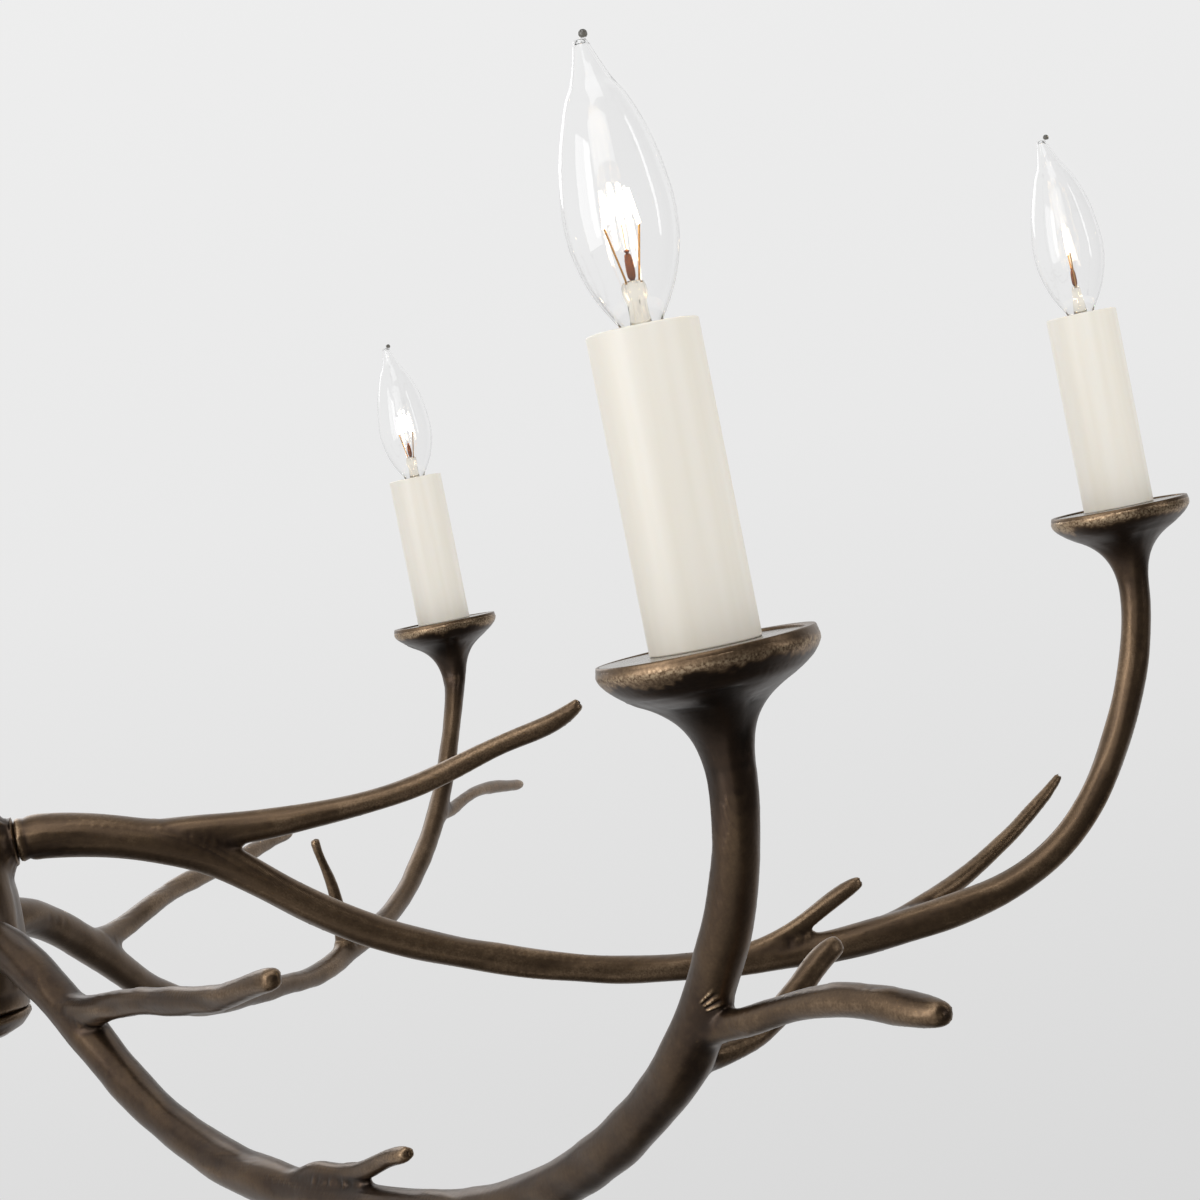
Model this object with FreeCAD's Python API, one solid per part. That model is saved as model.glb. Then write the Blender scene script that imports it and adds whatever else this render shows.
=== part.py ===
import FreeCAD, Part
import math
import os

# Antler chandelier: six branching cast arms with candle cups on a central hub, hung on a rod from a
# ceiling canopy. Millimetres, +Z up. The origin is the centre of the ceiling plane, where the canopy's
# rim and the mounting strap touch the ceiling, so the whole lamp lies below Z = 0.

V = FreeCAD.Vector
UP = V(0, 0, 1)

# ---- lamp pipe thread, nuts and small clearances ----
THREAD_DIAMETER = 10.2          # outside of 1/8 IP lamp pipe
WIREWAY = 7.0                   # bore of the pipe, where the wires run
THREAD_GRIP = 12.0              # how far a pipe screws into a rod or a casting
PIPE_PROUD = 1.0                # how far a pipe shows past its nut
NUT_ACROSS_FLATS = 14.3
NUT_THICKNESS = 4.0
RUNNING = 0.05                  # radial clearance of a shaft that turns in its hole
TURN_GAP = 0.3                  # gap between faces that turn past each other

# ---- ceiling fixings ----
STRAP_LENGTH = 114.0
STRAP_WIDTH = 22.0
STRAP_THICKNESS = 2.0
BOX_SCREW_SPACING = 88.9        # 3 1/2 in junction box screws
BOX_SLOT_WIDTH = 5.0
BOX_SLOT_LENGTH = 14.0
GROUND_SCREW_OFFSET = 26.0
GROUND_SCREW_DIAMETER = 4.0
GROUND_HEAD_DIAMETER = 8.0
GROUND_HEAD_HEIGHT = 2.6
GROUND_SLOT_WIDTH = 1.0
GROUND_SLOT_DEPTH = 1.2
CANOPY_DIAMETER = 140.0
CANOPY_DEPTH = 28.0
CANOPY_WALL = 1.4
CANOPY_RIM = 5.0                # straight rim before the dome starts
CANOPY_SHOULDER = 17.0          # radius of the flat in the middle of the canopy
COLLAR_DIAMETER = 24.0
COLLAR_HEIGHT = 9.0
COLLAR_GROOVES = 20
GROOVE_DIAMETER = 2.0
GROOVE_DEPTH = 0.6

# ---- swivel below the canopy ----
YOKE_DIAMETER = 27.0
YOKE_PLATE = 11.0               # solid height above the fork
STUD_HEAD_DIAMETER = 13.6
STUD_HEAD_HEIGHT = 4.0
HEAD_CLEARANCE = 0.4
HEAD_RECESS = 1.0               # head of the stud up inside the yoke
TONGUE_THICKNESS = 15.0
TONGUE_SIDE_GAP = 0.2
TONGUE_RADIUS = 8.0
TONGUE_HEADROOM = 1.2
CHEEK_RADIUS = 9.0
NECK_DROP = 10.5                # pin axis down to the shoulder of the neck
NECK_DIAMETER = 19.0
NECK_HEIGHT = 18.0
NECK_CHAMFER = 1.5
NECK_TAPER = 4.0                # height of the taper down to the rod
ROD_SHOULDER = 1.2              # how far the turned pieces stand out past the rod they meet
PIN_DIAMETER = 5.0
PIN_HEAD_DIAMETER = 8.0
PIN_HEAD_HEIGHT = 2.0

# ---- rods ----
ROD_DIAMETER = 12.7
UPPER_ROD_LENGTH = 304.8        # 12 in
LOWER_ROD_LENGTH = 152.4        # 6 in
COUPLER_DIAMETER = 18.0
COUPLER_HEIGHT = 14.0
COUPLER_SHANK = 3.5             # plain length at each end of the coupler
COUPLER_BEAD = 3.0              # straight height of the bead round its middle

# ---- trunk, hub and finial ----
TRUNK_HEIGHT = 122.0
TRUNK_FOOT_DIAMETER = 44.0
TRUNK_FLARE = [(0.08, 35.2), (0.22, 24.6), (0.5, 19.0), (0.75, 19.6)]     # share of height, diameter
TRUNK_TOP_DIAMETER = 24.0
TRUNK_CAP_DIAMETER = 36.0
TRUNK_CAP_HEIGHT = 8.0
TRUNK_CAP_EDGE = 1.5            # straight edge of the cap, and the height of its top chamfer
TRUNK_CAP_UNDERCUT = 2.0
BODY_CLEARANCE = 0.3            # pipe to the bores it only passes through
HUB_RADIUS = 34.0
HUB_BULGE = 4.0
HUB_BELLY_EASE = 1.0            # how much slimmer the belly is a quarter of the way from each end
HUB_HEIGHT = 96.0
HUB_TOP_THICKNESS = 8.0
HUB_CAVITY_FLAT = 25.0          # axis to each flat inside the hub, where the arm nuts sit
SEAT_REACH = 42.0               # hub axis to the faces that the arms bolt against
SEAT_DIAMETER = 24.0
HIGH_SEAT_DROP = 26.0           # hub top down to the three upper arms
LOW_SEAT_DROP = 62.0            # hub top down to the three lower arms
COVER_HEIGHT = 12.0
COVER_EDGE = 3.0                # straight edge of the cover under the hub
COVER_FOOT_RIM = 2.0            # how far the cover's foot stands out past the finial
COVER_STEP = 4.0
FINIAL_HEIGHT = 38.0
FINIAL_DIAMETER = 26.0
FINIAL_SHAPE = [(0.0, 0.12), (0.06, 0.45), (0.3, 0.92), (0.55, 0.9), (0.75, 0.72), (1.0, 1.0)]   # shares

# ---- arms ----
ARM_COUNT = 6
FAR_ARM = 2                     # the low arm with an upright tine
MIRRORED_ARMS = (3, 4)          # castings whose side tines turn the other way
HUB_TOP_BELOW_CUPS = 20.0       # cup tops down to the hub top
CUP_REACH = 551.0               # hub axis to every candle
MEASURED_SPAN = 509.0           # seat to candle axis on the arms whose stations are listed below
CUP_DIAMETER = 63.0
CUP_RECESS = 0.8
CUP_LIP = 2.0
STEM_DIAMETER = 13.6
TRUMPET_DROP = 34.0             # cup top down to the end of the flare
TRUMPET_FLARE = [(1.1, 28.0), (4.2, 21.0)]                          # (out from the stem, drop)
# The rim's round edge as (in from the widest circle, drop below the cup top).
CUP_RIM = [(14.0, 15.0), (5.5, 10.6), (1.1, 6.2), (0, 3.6), (0.6, 1.3), (1.0, 0)]
ROOT_BORE_DEPTH = 14.0
CUP_BORE_DEPTH = 16.0

# ---- candles: sleeve, socket and flame bulb, measured up from the floor of the cup's recess ----
SLEEVE_DIAMETER = 31.5
SLEEVE_BORE = 22.0
SLEEVE_HEIGHT = 88.9            # 3 1/2 in
SLEEVE_EDGE = 1.0
NIPPLE_RISE = 9.0
LEG_THICKNESS = 1.6
LEG_BASE_DIAMETER = 18.5
LEG_WIDTH = 8.0
SOCKET_BELOW_RIM = 6.9          # mouth of the socket down inside the sleeve
SOCKET_LENGTH = 44.0
SOCKET_DIAMETER = 18.0
SOCKET_FLOOR = 22.0             # solid foot of the socket body
SHELL_WALL = 0.5
BASE_DIAMETER = 11.9            # E12 screw base
BASE_CLEARANCE = 0.35
BASE_LENGTH = 21.0
THREAD_PITCH = 2.54
THREAD_DEPTH = 0.45
THREAD_TURNS = 5
CONTACT_DIAMETER = 5.0
BASE_NUB_HEIGHT = 1.4
BASE_CONE_HEIGHT = 2.0
BASE_CONE_STEP = 1.4            # how much narrower the insulator cone ends than the thread
THREAD_START = 0.4              # plain height between the cone and the first thread
THREAD_FLANK = 0.35             # share of the pitch that each flank of the thread takes
BULB_BELOW_RIM = 4.5            # glass hidden inside the sleeve
BULB_SHAPE = [(-BULB_BELOW_RIM, 11.0), (0, 11.8), (3.5, 15.4), (7.5, 20.0), (11.5, 23.8), (16, 27.0),
              (21, 29.6), (26, 31.0), (31, 31.4), (36, 30.8), (42, 29.2), (48, 27.0), (56, 22.6),
              (63.5, 17.0), (68, 12.0), (72, 8.8), (76, 6.2), (79, 4.4), (81.2, 2.6)]
GLASS_WALL = 0.7
BEND_START = 50.0               # height above the sleeve where the flame tip starts to lean
TIP_BEND = 3.0
BEND_HEADING = 168.0            # turn from the arm's outward direction to the side the tips lean
STEM_FOOT_DIAMETER = 8.2        # flare where the glass stem joins the neck of the bulb
STEM_TUBE_DIAMETER = 4.4
PRESS_DIAMETER = 7.4            # the pinch that seals the wires in
PRESS_START = 8.6               # heights above the sleeve
PRESS_END = 12.9
PRESS_CHAMFER = 0.7
LEAD_RADIUS = 0.35
LEAD_SPREAD = 2.0               # from the bulb's axis to each wire at the press
LEAD_RISE = 15.0
FILAMENT_RADIUS = 0.55
FILAMENT_SPREAD = 5.4
FILAMENT_PEAK = 26.5
PEAK_SPREAD = 1.2
ARBOR_RADIUS = 1.1
ARBOR_RISE = 7.5

# Arm spines: (distance, drop below the cup top, diameter). Near the hub the distance is measured out
# from the seat, near the cup it is measured in from the candle's axis. All distances along an arm keep
# their share of the measured span when the cups stand nearer or further out.
LOW_ARM_ROOT = [(14, 82, 19.0), (36, 88, 18.5), (72, 109, 17.5), (108, 135.5, 16.6), (156, 159, 16.4),
                (190, 168, 16.8), (224, 172.5, 16.4)]
LOW_ARM_END = [(218, 175.5, 16.0), (156, 169, 16.0), (120, 158.8, 15.9), (97, 149.6, 16.0),
               (67, 133, 16.4), (48, 119.2, 16.8), (36, 106.5, 16.2), (25, 92, 15.0), (12.5, 74.5, 14.5),
               (5, 57.5, 14.0), (0.5, 42, 13.6)]
FAR_ARM_ROOT = [(14, 82, 19.0), (36, 88, 18.0), (72, 109, 17.0), (108, 134.5, 15.5), (152, 154, 14.0),
                (236, 164.2, 12.2)]
FAR_ARM_END = [(224, 166, 12.4), (183, 160, 13.5), (133, 150, 13.0), (103, 137, 13.0),
               (76, 120.8, 12.8), (51, 100.5, 13.0), (37.5, 86, 12.6), (25.5, 71.5, 12.0),
               (15, 58, 12.2), (6, 45, 12.8)]
HIGH_ARM_ROOT = [(14, 46.5, 19.0), (38, 52, 18.5), (75, 67, 17.0), (107, 91.8, 14.6),
                 (140, 116, 14.4), (174, 132.6, 13.8), (209, 146.4, 12.4), (245, 156.8, 12.8)]
HIGH_ARM_END = [(201, 165.5, 12.9), (169, 167.2, 14.2), (136, 165.8, 15.0), (88, 158.8, 13.4),
                (58, 145.5, 12.8), (35, 123, 13.0), (19, 97.5, 13.3), (7, 70, 13.5), (1, 46, 13.6)]

# Tines: where each leaves its arm, its heading from the arm's outward direction in degrees, and its
# points (along, rise, diameter) counted from the arm's centre line there. The last point is the tip.
FROM_SEAT, FROM_CUP = "from the seat", "from the cup"
LOW_ARM_TINES = [
    (FROM_SEAT, 66, 0, [(0, 0, 13.0), (40, -3, 12.0), (75, 0, 11.2), (115, 0.5, 10.8), (143, 4, 10.0),
                        (171, 9, 9.0)]),
    (FROM_SEAT, 222, 0, [(0, 0, 9.0), (26, 7.4, 8.4), (48, 9.6, 7.8), (64, 14, 7.4), (80, 17.5, 6.4)]),
    (FROM_CUP, 48, 85, [(0, 0, 9.5), (12, -0.6, 9.2), (24, 0.8, 9.0), (44, 10, 8.6), (61, 19.5, 7.2)]),
    (FROM_CUP, 38, 0, [(0, 0, 12.0), (15, 1.2, 9.4), (37, 5.8, 9.4), (55, 9, 9.6),
                       (71, 9.4, 10.0), (87, 8.2, 10.2), (102, 6.4, 8.6)]),
]
FAR_ARM_TINES = [
    (FROM_SEAT, 66, 0, [(0, 0, 13.0), (40, 1, 12.0), (75, 7, 11.0), (110, 10, 10.0), (157, 12, 9.0),
                        (205, 15, 7.6)]),
    (FROM_CUP, 198, 0, [(0, 0, 12.0), (-1, 10, 10.4), (-2, 20, 8.0), (-3, 34, 7.2), (-8, 50, 6.6),
                        (-12, 64, 5.8)]),
    (FROM_CUP, 61, 0, [(0, 0, 10.0), (14, -1, 9.0), (40, 2.2, 8.4), (64, 3.8, 8.4), (95, 1.2, 8.4),
                       (120, -2, 7.2)]),
]
HIGH_ARM_TINES = [
    (FROM_SEAT, 56, 0, [(0, 0, 14.0), (22, 0, 14.0), (56, -3.5, 12.8), (82, -3.4, 10.4), (108, -1.6, 9.6),
                        (134, 3.4, 9.4), (161, 10.4, 9.0), (194, 20, 7.4)]),
    (FROM_CUP, 213, 0, [(0, 0, 10.6), (14, 3, 10.2), (26, 7, 9.0), (43, 15, 8.7), (62, 23, 7.2)]),
    (FROM_CUP, 152, 22, [(0, 0, 11.4), (24, 5, 10.4), (48, 11, 9.6), (73, 20, 8.8), (98, 32, 7.8),
                         (122, 47, 6.4)]),
]

# ---- levels worked out from the sizes above ----
COLLAR_BOTTOM = -CANOPY_DEPTH - COLLAR_HEIGHT
YOKE_TOP = COLLAR_BOTTOM - TURN_GAP
YOKE_PLATE_BOTTOM = YOKE_TOP - YOKE_PLATE
PIN_LEVEL = YOKE_PLATE_BOTTOM - TONGUE_HEADROOM - TONGUE_RADIUS
NECK_BOTTOM = PIN_LEVEL - NECK_DROP - NECK_HEIGHT
COUPLER_TOP = NECK_BOTTOM - UPPER_ROD_LENGTH
COUPLER_BOTTOM = COUPLER_TOP - COUPLER_HEIGHT
CAP_TOP = COUPLER_BOTTOM - LOWER_ROD_LENGTH
TRUNK_TOP = CAP_TOP - TRUNK_CAP_HEIGHT
HUB_TOP = TRUNK_TOP - TRUNK_HEIGHT
HUB_BOTTOM = HUB_TOP - HUB_HEIGHT
COVER_BOTTOM = HUB_BOTTOM - COVER_HEIGHT
CUP_LEVEL = HUB_TOP + HUB_TOP_BELOW_CUPS
PIPE_BOTTOM = COVER_BOTTOM - THREAD_GRIP
LOW_SEAT_LEVEL = HUB_TOP - LOW_SEAT_DROP
HIGH_SEAT_LEVEL = HUB_TOP - HIGH_SEAT_DROP
SOCKET_TOP = SLEEVE_HEIGHT - SOCKET_BELOW_RIM
SOCKET_BOTTOM = SOCKET_TOP - SOCKET_LENGTH
BULB_FOOT = SLEEVE_HEIGHT - BULB_BELOW_RIM
BASE_FOOT = BULB_FOOT - BASE_LENGTH


def outward(angle):
    """Unit vector that points away from the hub axis at this angle from +X."""
    return V(math.cos(math.radians(angle)), math.sin(math.radians(angle)), 0)


OUT = outward(0)


def arm_angle(number):
    return 360.0 / ARM_COUNT * (number - 1)


def is_high(number):
    """The odd arms leave the hub at the upper seats, the even ones at the lower seats."""
    return number % 2 == 1


def rod(diameter, bottom, top, at=V(0, 0, 0)):
    return Part.makeCylinder(diameter / 2, top - bottom, at + UP * bottom)


def tube(diameter, bore, bottom, top, at=V(0, 0, 0)):
    return rod(diameter, bottom, top, at).cut(rod(bore, bottom, top, at))


def lamp_pipe(bottom, top, at=V(0, 0, 0)):
    return tube(THREAD_DIAMETER, WIREWAY, bottom, top, at)


def along(shape, base, direction):
    """Puts a shape that was drawn up +Z from the origin on a base point, along a direction."""
    moved = shape.copy()
    moved.Placement = FreeCAD.Placement(base, FreeCAD.Rotation(UP, direction)).multiply(shape.Placement)
    return moved


def turn_to(shape, number):
    """Turns what was drawn along +X to its arm's angle about the hub axis."""
    moved = shape.copy()
    turn = FreeCAD.Placement(V(0, 0, 0), FreeCAD.Rotation(UP, arm_angle(number)))
    moved.Placement = turn.multiply(shape.Placement)
    return moved


def hex_prism(across_flats, height):
    """A six-sided prism up +Z from the origin, with flats that face X and every 60 degrees on."""
    corner = across_flats / 2 / math.cos(math.radians(30))
    corners = [outward(30 + 60 * turn) * corner for turn in range(6)]
    return Part.Face(Part.makePolygon(corners + corners[:1])).extrude(UP * height)


def hex_nut():
    nut = hex_prism(NUT_ACROSS_FLATS, NUT_THICKNESS)
    return nut.cut(rod(THREAD_DIAMETER, 0, NUT_THICKNESS))


def turned(outline):
    """A solid turned about Z from (radius, height) corners, closed along the axis."""
    points = [V(radius, 0, height) for radius, height in outline]
    points = [V(0, 0, points[0].z)] + points + [V(0, 0, points[-1].z)]
    return Part.Face(Part.makePolygon(points + points[:1])).revolve(V(0, 0, 0), UP, 360)


def turned_smooth(profile):
    """A solid turned about Z whose side is one smooth curve through (radius, height) points."""
    points = [V(radius, 0, height) for radius, height in profile]
    side = Part.BSplineCurve()
    side.interpolate(points)
    foot, head = V(0, 0, points[0].z), V(0, 0, points[-1].z)
    edges = [Part.makeLine(foot, points[0]), side.toShape(), Part.makeLine(points[-1], head),
             Part.makeLine(head, foot)]
    return Part.Face(Part.Wire(edges)).revolve(V(0, 0, 0), UP, 360)


def save(name, shape):
    shape.exportStep("parts/" + name + ".step")


# ---- ceiling fixings ----

def slot(centre_x):
    half = (BOX_SLOT_LENGTH - BOX_SLOT_WIDTH) / 2
    radius = BOX_SLOT_WIDTH / 2
    box = Part.makeBox(2 * half, BOX_SLOT_WIDTH, STRAP_THICKNESS,
                       V(centre_x - half, -radius, -STRAP_THICKNESS))
    ends = [rod(BOX_SLOT_WIDTH, -STRAP_THICKNESS, 0, V(centre_x + side * half, 0, 0)) for side in (-1, 1)]
    return box.fuse(ends)


def mounting_strap():
    strap = Part.makeBox(STRAP_LENGTH, STRAP_WIDTH, STRAP_THICKNESS,
                         V(-STRAP_LENGTH / 2, -STRAP_WIDTH / 2, -STRAP_THICKNESS))
    strap = strap.cut([slot(side * BOX_SCREW_SPACING / 2) for side in (-1, 1)])
    strap = strap.cut(rod(THREAD_DIAMETER, -STRAP_THICKNESS, 0))
    return strap.cut(rod(GROUND_SCREW_DIAMETER, -STRAP_THICKNESS, 0, V(GROUND_SCREW_OFFSET, 0, 0)))


def swivel_stud():
    """The hollow stud that carries the lamp: threaded above, with a head that the yoke turns on."""
    head_top = YOKE_PLATE_BOTTOM + STUD_HEAD_HEIGHT + HEAD_RECESS
    stud = rod(THREAD_DIAMETER, head_top, 0)
    head = rod(STUD_HEAD_DIAMETER, head_top - STUD_HEAD_HEIGHT, head_top)
    return stud.fuse(head).cut(rod(WIREWAY, head_top - STUD_HEAD_HEIGHT, 0)).removeSplitter()


def ground_screw():
    at = V(GROUND_SCREW_OFFSET, 0, 0)
    under = -STRAP_THICKNESS
    head = rod(GROUND_HEAD_DIAMETER, under - GROUND_HEAD_HEIGHT, under, at)
    slot_cut = Part.makeBox(GROUND_HEAD_DIAMETER, GROUND_SLOT_WIDTH, GROUND_SLOT_DEPTH,
                            at + V(-GROUND_HEAD_DIAMETER / 2, -GROUND_SLOT_WIDTH / 2,
                                   under - GROUND_HEAD_HEIGHT))
    return head.cut(slot_cut).fuse(rod(GROUND_SCREW_DIAMETER, under, 0, at))


def canopy_solid(inset):
    """A straight rim with a quarter of an ellipse turned below it, moved inwards by the wall."""
    rim, depth = CANOPY_DIAMETER / 2 - inset, CANOPY_DEPTH - inset
    reach, fall = rim - CANOPY_SHOULDER, depth - CANOPY_RIM
    angles = [math.radians(15 * step) for step in range(7)]
    dome = turned_smooth([(CANOPY_SHOULDER + reach * math.cos(angle), -CANOPY_RIM - fall * math.sin(angle))
                          for angle in angles])
    return rod(2 * rim, -CANOPY_RIM, 0).fuse(dome)


def canopy():
    shell = canopy_solid(0).cut(canopy_solid(CANOPY_WALL))
    return shell.cut(rod(THREAD_DIAMETER + 2 * BODY_CLEARANCE, -CANOPY_DEPTH, 0))


def canopy_collar():
    """The screw ring that holds the canopy up, with finger grooves round its edge."""
    body = tube(COLLAR_DIAMETER, THREAD_DIAMETER, COLLAR_BOTTOM, -CANOPY_DEPTH)
    groove_reach = (COLLAR_DIAMETER + GROOVE_DIAMETER) / 2 - GROOVE_DEPTH
    places = [outward(360 / COLLAR_GROOVES * turn) * groove_reach for turn in range(COLLAR_GROOVES)]
    return body.cut([rod(GROOVE_DIAMETER, COLLAR_BOTTOM, -CANOPY_DEPTH, place) for place in places])


# ---- swivel ----

def pin_axis_rod(diameter, length):
    """A cylinder centred on the tilt axis, which runs along X."""
    return Part.makeCylinder(diameter / 2, length, V(-length / 2, 0, PIN_LEVEL), V(1, 0, 0))


def centred_box(size_x, size_y, bottom, top):
    return Part.makeBox(size_x, size_y, top - bottom, V(-size_x / 2, -size_y / 2, bottom))


def swivel_yoke():
    """A round plate with two cheeks below it, rounded about the pin."""
    cheeks_bottom = PIN_LEVEL - CHEEK_RADIUS
    plate = rod(YOKE_DIAMETER, YOKE_PLATE_BOTTOM, YOKE_TOP)
    blade = centred_box(YOKE_DIAMETER, 2 * CHEEK_RADIUS, PIN_LEVEL, YOKE_PLATE_BOTTOM)
    cheeks = blade.fuse(pin_axis_rod(2 * CHEEK_RADIUS, YOKE_DIAMETER))
    body = plate.fuse(cheeks.common(rod(YOKE_DIAMETER, cheeks_bottom, YOKE_PLATE_BOTTOM)))
    gap = TONGUE_THICKNESS + 2 * TONGUE_SIDE_GAP
    body = body.cut(centred_box(gap, YOKE_DIAMETER, cheeks_bottom, YOKE_PLATE_BOTTOM))
    body = body.cut(rod(THREAD_DIAMETER + 2 * RUNNING, YOKE_PLATE_BOTTOM, YOKE_TOP))
    pocket_top = YOKE_PLATE_BOTTOM + STUD_HEAD_HEIGHT + HEAD_RECESS
    body = body.cut(rod(STUD_HEAD_DIAMETER + 2 * HEAD_CLEARANCE, YOKE_PLATE_BOTTOM, pocket_top))
    return body.cut(pin_axis_rod(PIN_DIAMETER, YOKE_DIAMETER))


def swivel_pin():
    """A shoulder rivet through both cheeks, with a low head at each end."""
    full = YOKE_DIAMETER / 2 + PIN_HEAD_HEIGHT
    heads = [along(rod(PIN_HEAD_DIAMETER, YOKE_DIAMETER / 2, full), V(0, 0, PIN_LEVEL), V(side, 0, 0))
             for side in (-1, 1)]
    return pin_axis_rod(PIN_DIAMETER, YOKE_DIAMETER).fuse(heads)


def swivel_knuckle():
    """The tongue between the cheeks and the turned neck that the upper rod screws into."""
    shoulder = PIN_LEVEL - NECK_DROP
    blade = centred_box(TONGUE_THICKNESS, 2 * TONGUE_RADIUS, shoulder, PIN_LEVEL)
    blade = blade.common(rod(NECK_DIAMETER, shoulder, PIN_LEVEL))
    wide, small = NECK_DIAMETER / 2, ROD_DIAMETER / 2 + ROD_SHOULDER
    neck = turned([(small, NECK_BOTTOM), (wide, NECK_BOTTOM + NECK_TAPER), (wide, shoulder - NECK_CHAMFER),
                   (wide - NECK_CHAMFER, shoulder)])
    body = pin_axis_rod(2 * TONGUE_RADIUS, TONGUE_THICKNESS).fuse([blade, neck])
    body = body.cut(pin_axis_rod(PIN_DIAMETER + 2 * RUNNING, TONGUE_THICKNESS))
    return body.cut(rod(THREAD_DIAMETER, NECK_BOTTOM, NECK_BOTTOM + THREAD_GRIP))


# ---- rods, trunk and hub ----

def rod_coupler():
    """The turned collar between the two rods, with a bead round its middle."""
    radius, small = COUPLER_DIAMETER / 2, ROD_DIAMETER / 2 + ROD_SHOULDER
    middle = (COUPLER_TOP + COUPLER_BOTTOM) / 2
    body = turned([(small, COUPLER_BOTTOM), (small, COUPLER_BOTTOM + COUPLER_SHANK),
                   (radius, middle - COUPLER_BEAD / 2), (radius, middle + COUPLER_BEAD / 2),
                   (small, COUPLER_TOP - COUPLER_SHANK), (small, COUPLER_TOP)])
    return body.cut(rod(THREAD_DIAMETER, COUPLER_BOTTOM, COUPLER_TOP))


def rod_nipples():
    joint_at_neck = lamp_pipe(NECK_BOTTOM - THREAD_GRIP, NECK_BOTTOM + THREAD_GRIP)
    joint_at_coupler = lamp_pipe(COUPLER_BOTTOM - THREAD_GRIP, COUPLER_TOP + THREAD_GRIP)
    return Part.makeCompound([joint_at_neck, joint_at_coupler])


def trunk():
    profile = [(TRUNK_FOOT_DIAMETER / 2, HUB_TOP)]
    profile += [(width / 2, HUB_TOP + share * TRUNK_HEIGHT) for share, width in TRUNK_FLARE]
    body = turned_smooth(profile + [(TRUNK_TOP_DIAMETER / 2, TRUNK_TOP)])
    return body.cut(rod(THREAD_DIAMETER + 2 * BODY_CLEARANCE, HUB_TOP, TRUNK_TOP))


def trunk_cap():
    """The round plate between the trunk and the lower rod."""
    wide, small = TRUNK_CAP_DIAMETER / 2, ROD_DIAMETER / 2 + ROD_SHOULDER
    edge = TRUNK_TOP + TRUNK_CAP_UNDERCUT
    body = turned([(TRUNK_TOP_DIAMETER / 2, TRUNK_TOP), (wide, edge), (wide, edge + TRUNK_CAP_EDGE),
                   (small + TRUNK_CAP_EDGE, CAP_TOP - TRUNK_CAP_EDGE), (small, CAP_TOP)])
    return body.cut(rod(THREAD_DIAMETER + 2 * BODY_CLEARANCE, TRUNK_TOP, CAP_TOP))


def tie_pipe():
    """The long pipe that draws the trunk, the hub and its cover together."""
    return lamp_pipe(PIPE_BOTTOM, CAP_TOP + THREAD_GRIP)


def tie_nut():
    return along(hex_nut(), V(0, 0, HUB_TOP - HUB_TOP_THICKNESS - NUT_THICKNESS), UP)


def seat_level(number):
    return HIGH_SEAT_LEVEL if is_high(number) else LOW_SEAT_LEVEL


def hub_body():
    belly, neck = HUB_RADIUS + HUB_BULGE, HUB_RADIUS
    middle = (HUB_TOP + HUB_BOTTOM) / 2
    eased, quarter = belly - HUB_BELLY_EASE, HUB_HEIGHT / 4
    body = turned_smooth([(neck, HUB_BOTTOM), (eased, HUB_BOTTOM + quarter), (belly, middle),
                          (eased, HUB_TOP - quarter), (neck, HUB_TOP)])
    for number in range(1, ARM_COUNT + 1):
        out = outward(arm_angle(number))
        boss = rod(SEAT_DIAMETER, HUB_CAVITY_FLAT, SEAT_REACH)
        body = body.fuse(along(boss, UP * seat_level(number), out))
    cavity = hex_prism(2 * HUB_CAVITY_FLAT, HUB_HEIGHT - HUB_TOP_THICKNESS)
    body = body.cut(along(cavity, V(0, 0, HUB_BOTTOM), UP))
    for number in range(1, ARM_COUNT + 1):
        out = outward(arm_angle(number))
        body = body.cut(along(rod(THREAD_DIAMETER, 0, SEAT_REACH), UP * seat_level(number), out))
    return body.cut(rod(THREAD_DIAMETER + 2 * BODY_CLEARANCE, HUB_TOP - HUB_TOP_THICKNESS, HUB_TOP))


def hub_cover():
    foot = FINIAL_DIAMETER / 2 + COVER_FOOT_RIM
    body = turned([(foot, COVER_BOTTOM), ((foot + HUB_RADIUS) / 2 + COVER_STEP, COVER_BOTTOM + COVER_STEP),
                   (HUB_RADIUS, HUB_BOTTOM - COVER_EDGE), (HUB_RADIUS, HUB_BOTTOM)])
    return body.cut(rod(THREAD_DIAMETER + 2 * BODY_CLEARANCE, COVER_BOTTOM, HUB_BOTTOM))


def finial():
    """A drop that screws onto the end of the tie pipe."""
    bottom = COVER_BOTTOM - FINIAL_HEIGHT
    body = turned_smooth([(FINIAL_DIAMETER / 2 * width, bottom + FINIAL_HEIGHT * share)
                          for share, width in FINIAL_SHAPE])
    return body.cut(rod(THREAD_DIAMETER, PIPE_BOTTOM, COVER_BOTTOM))


def arm_nipple(number):
    inner = HUB_CAVITY_FLAT - NUT_THICKNESS - PIPE_PROUD
    pipe = lamp_pipe(inner, SEAT_REACH + THREAD_GRIP)
    return along(pipe, UP * seat_level(number), outward(arm_angle(number)))


def arm_locknut(number):
    out = outward(arm_angle(number))
    return along(hex_nut(), UP * seat_level(number) + out * (HUB_CAVITY_FLAT - NUT_THICKNESS), out)


# ---- arms ----

def stretched(distance):
    """A measured distance along an arm, in proportion to how far the cup stands from the seat."""
    return distance * (CUP_REACH - SEAT_REACH) / MEASURED_SPAN


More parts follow.
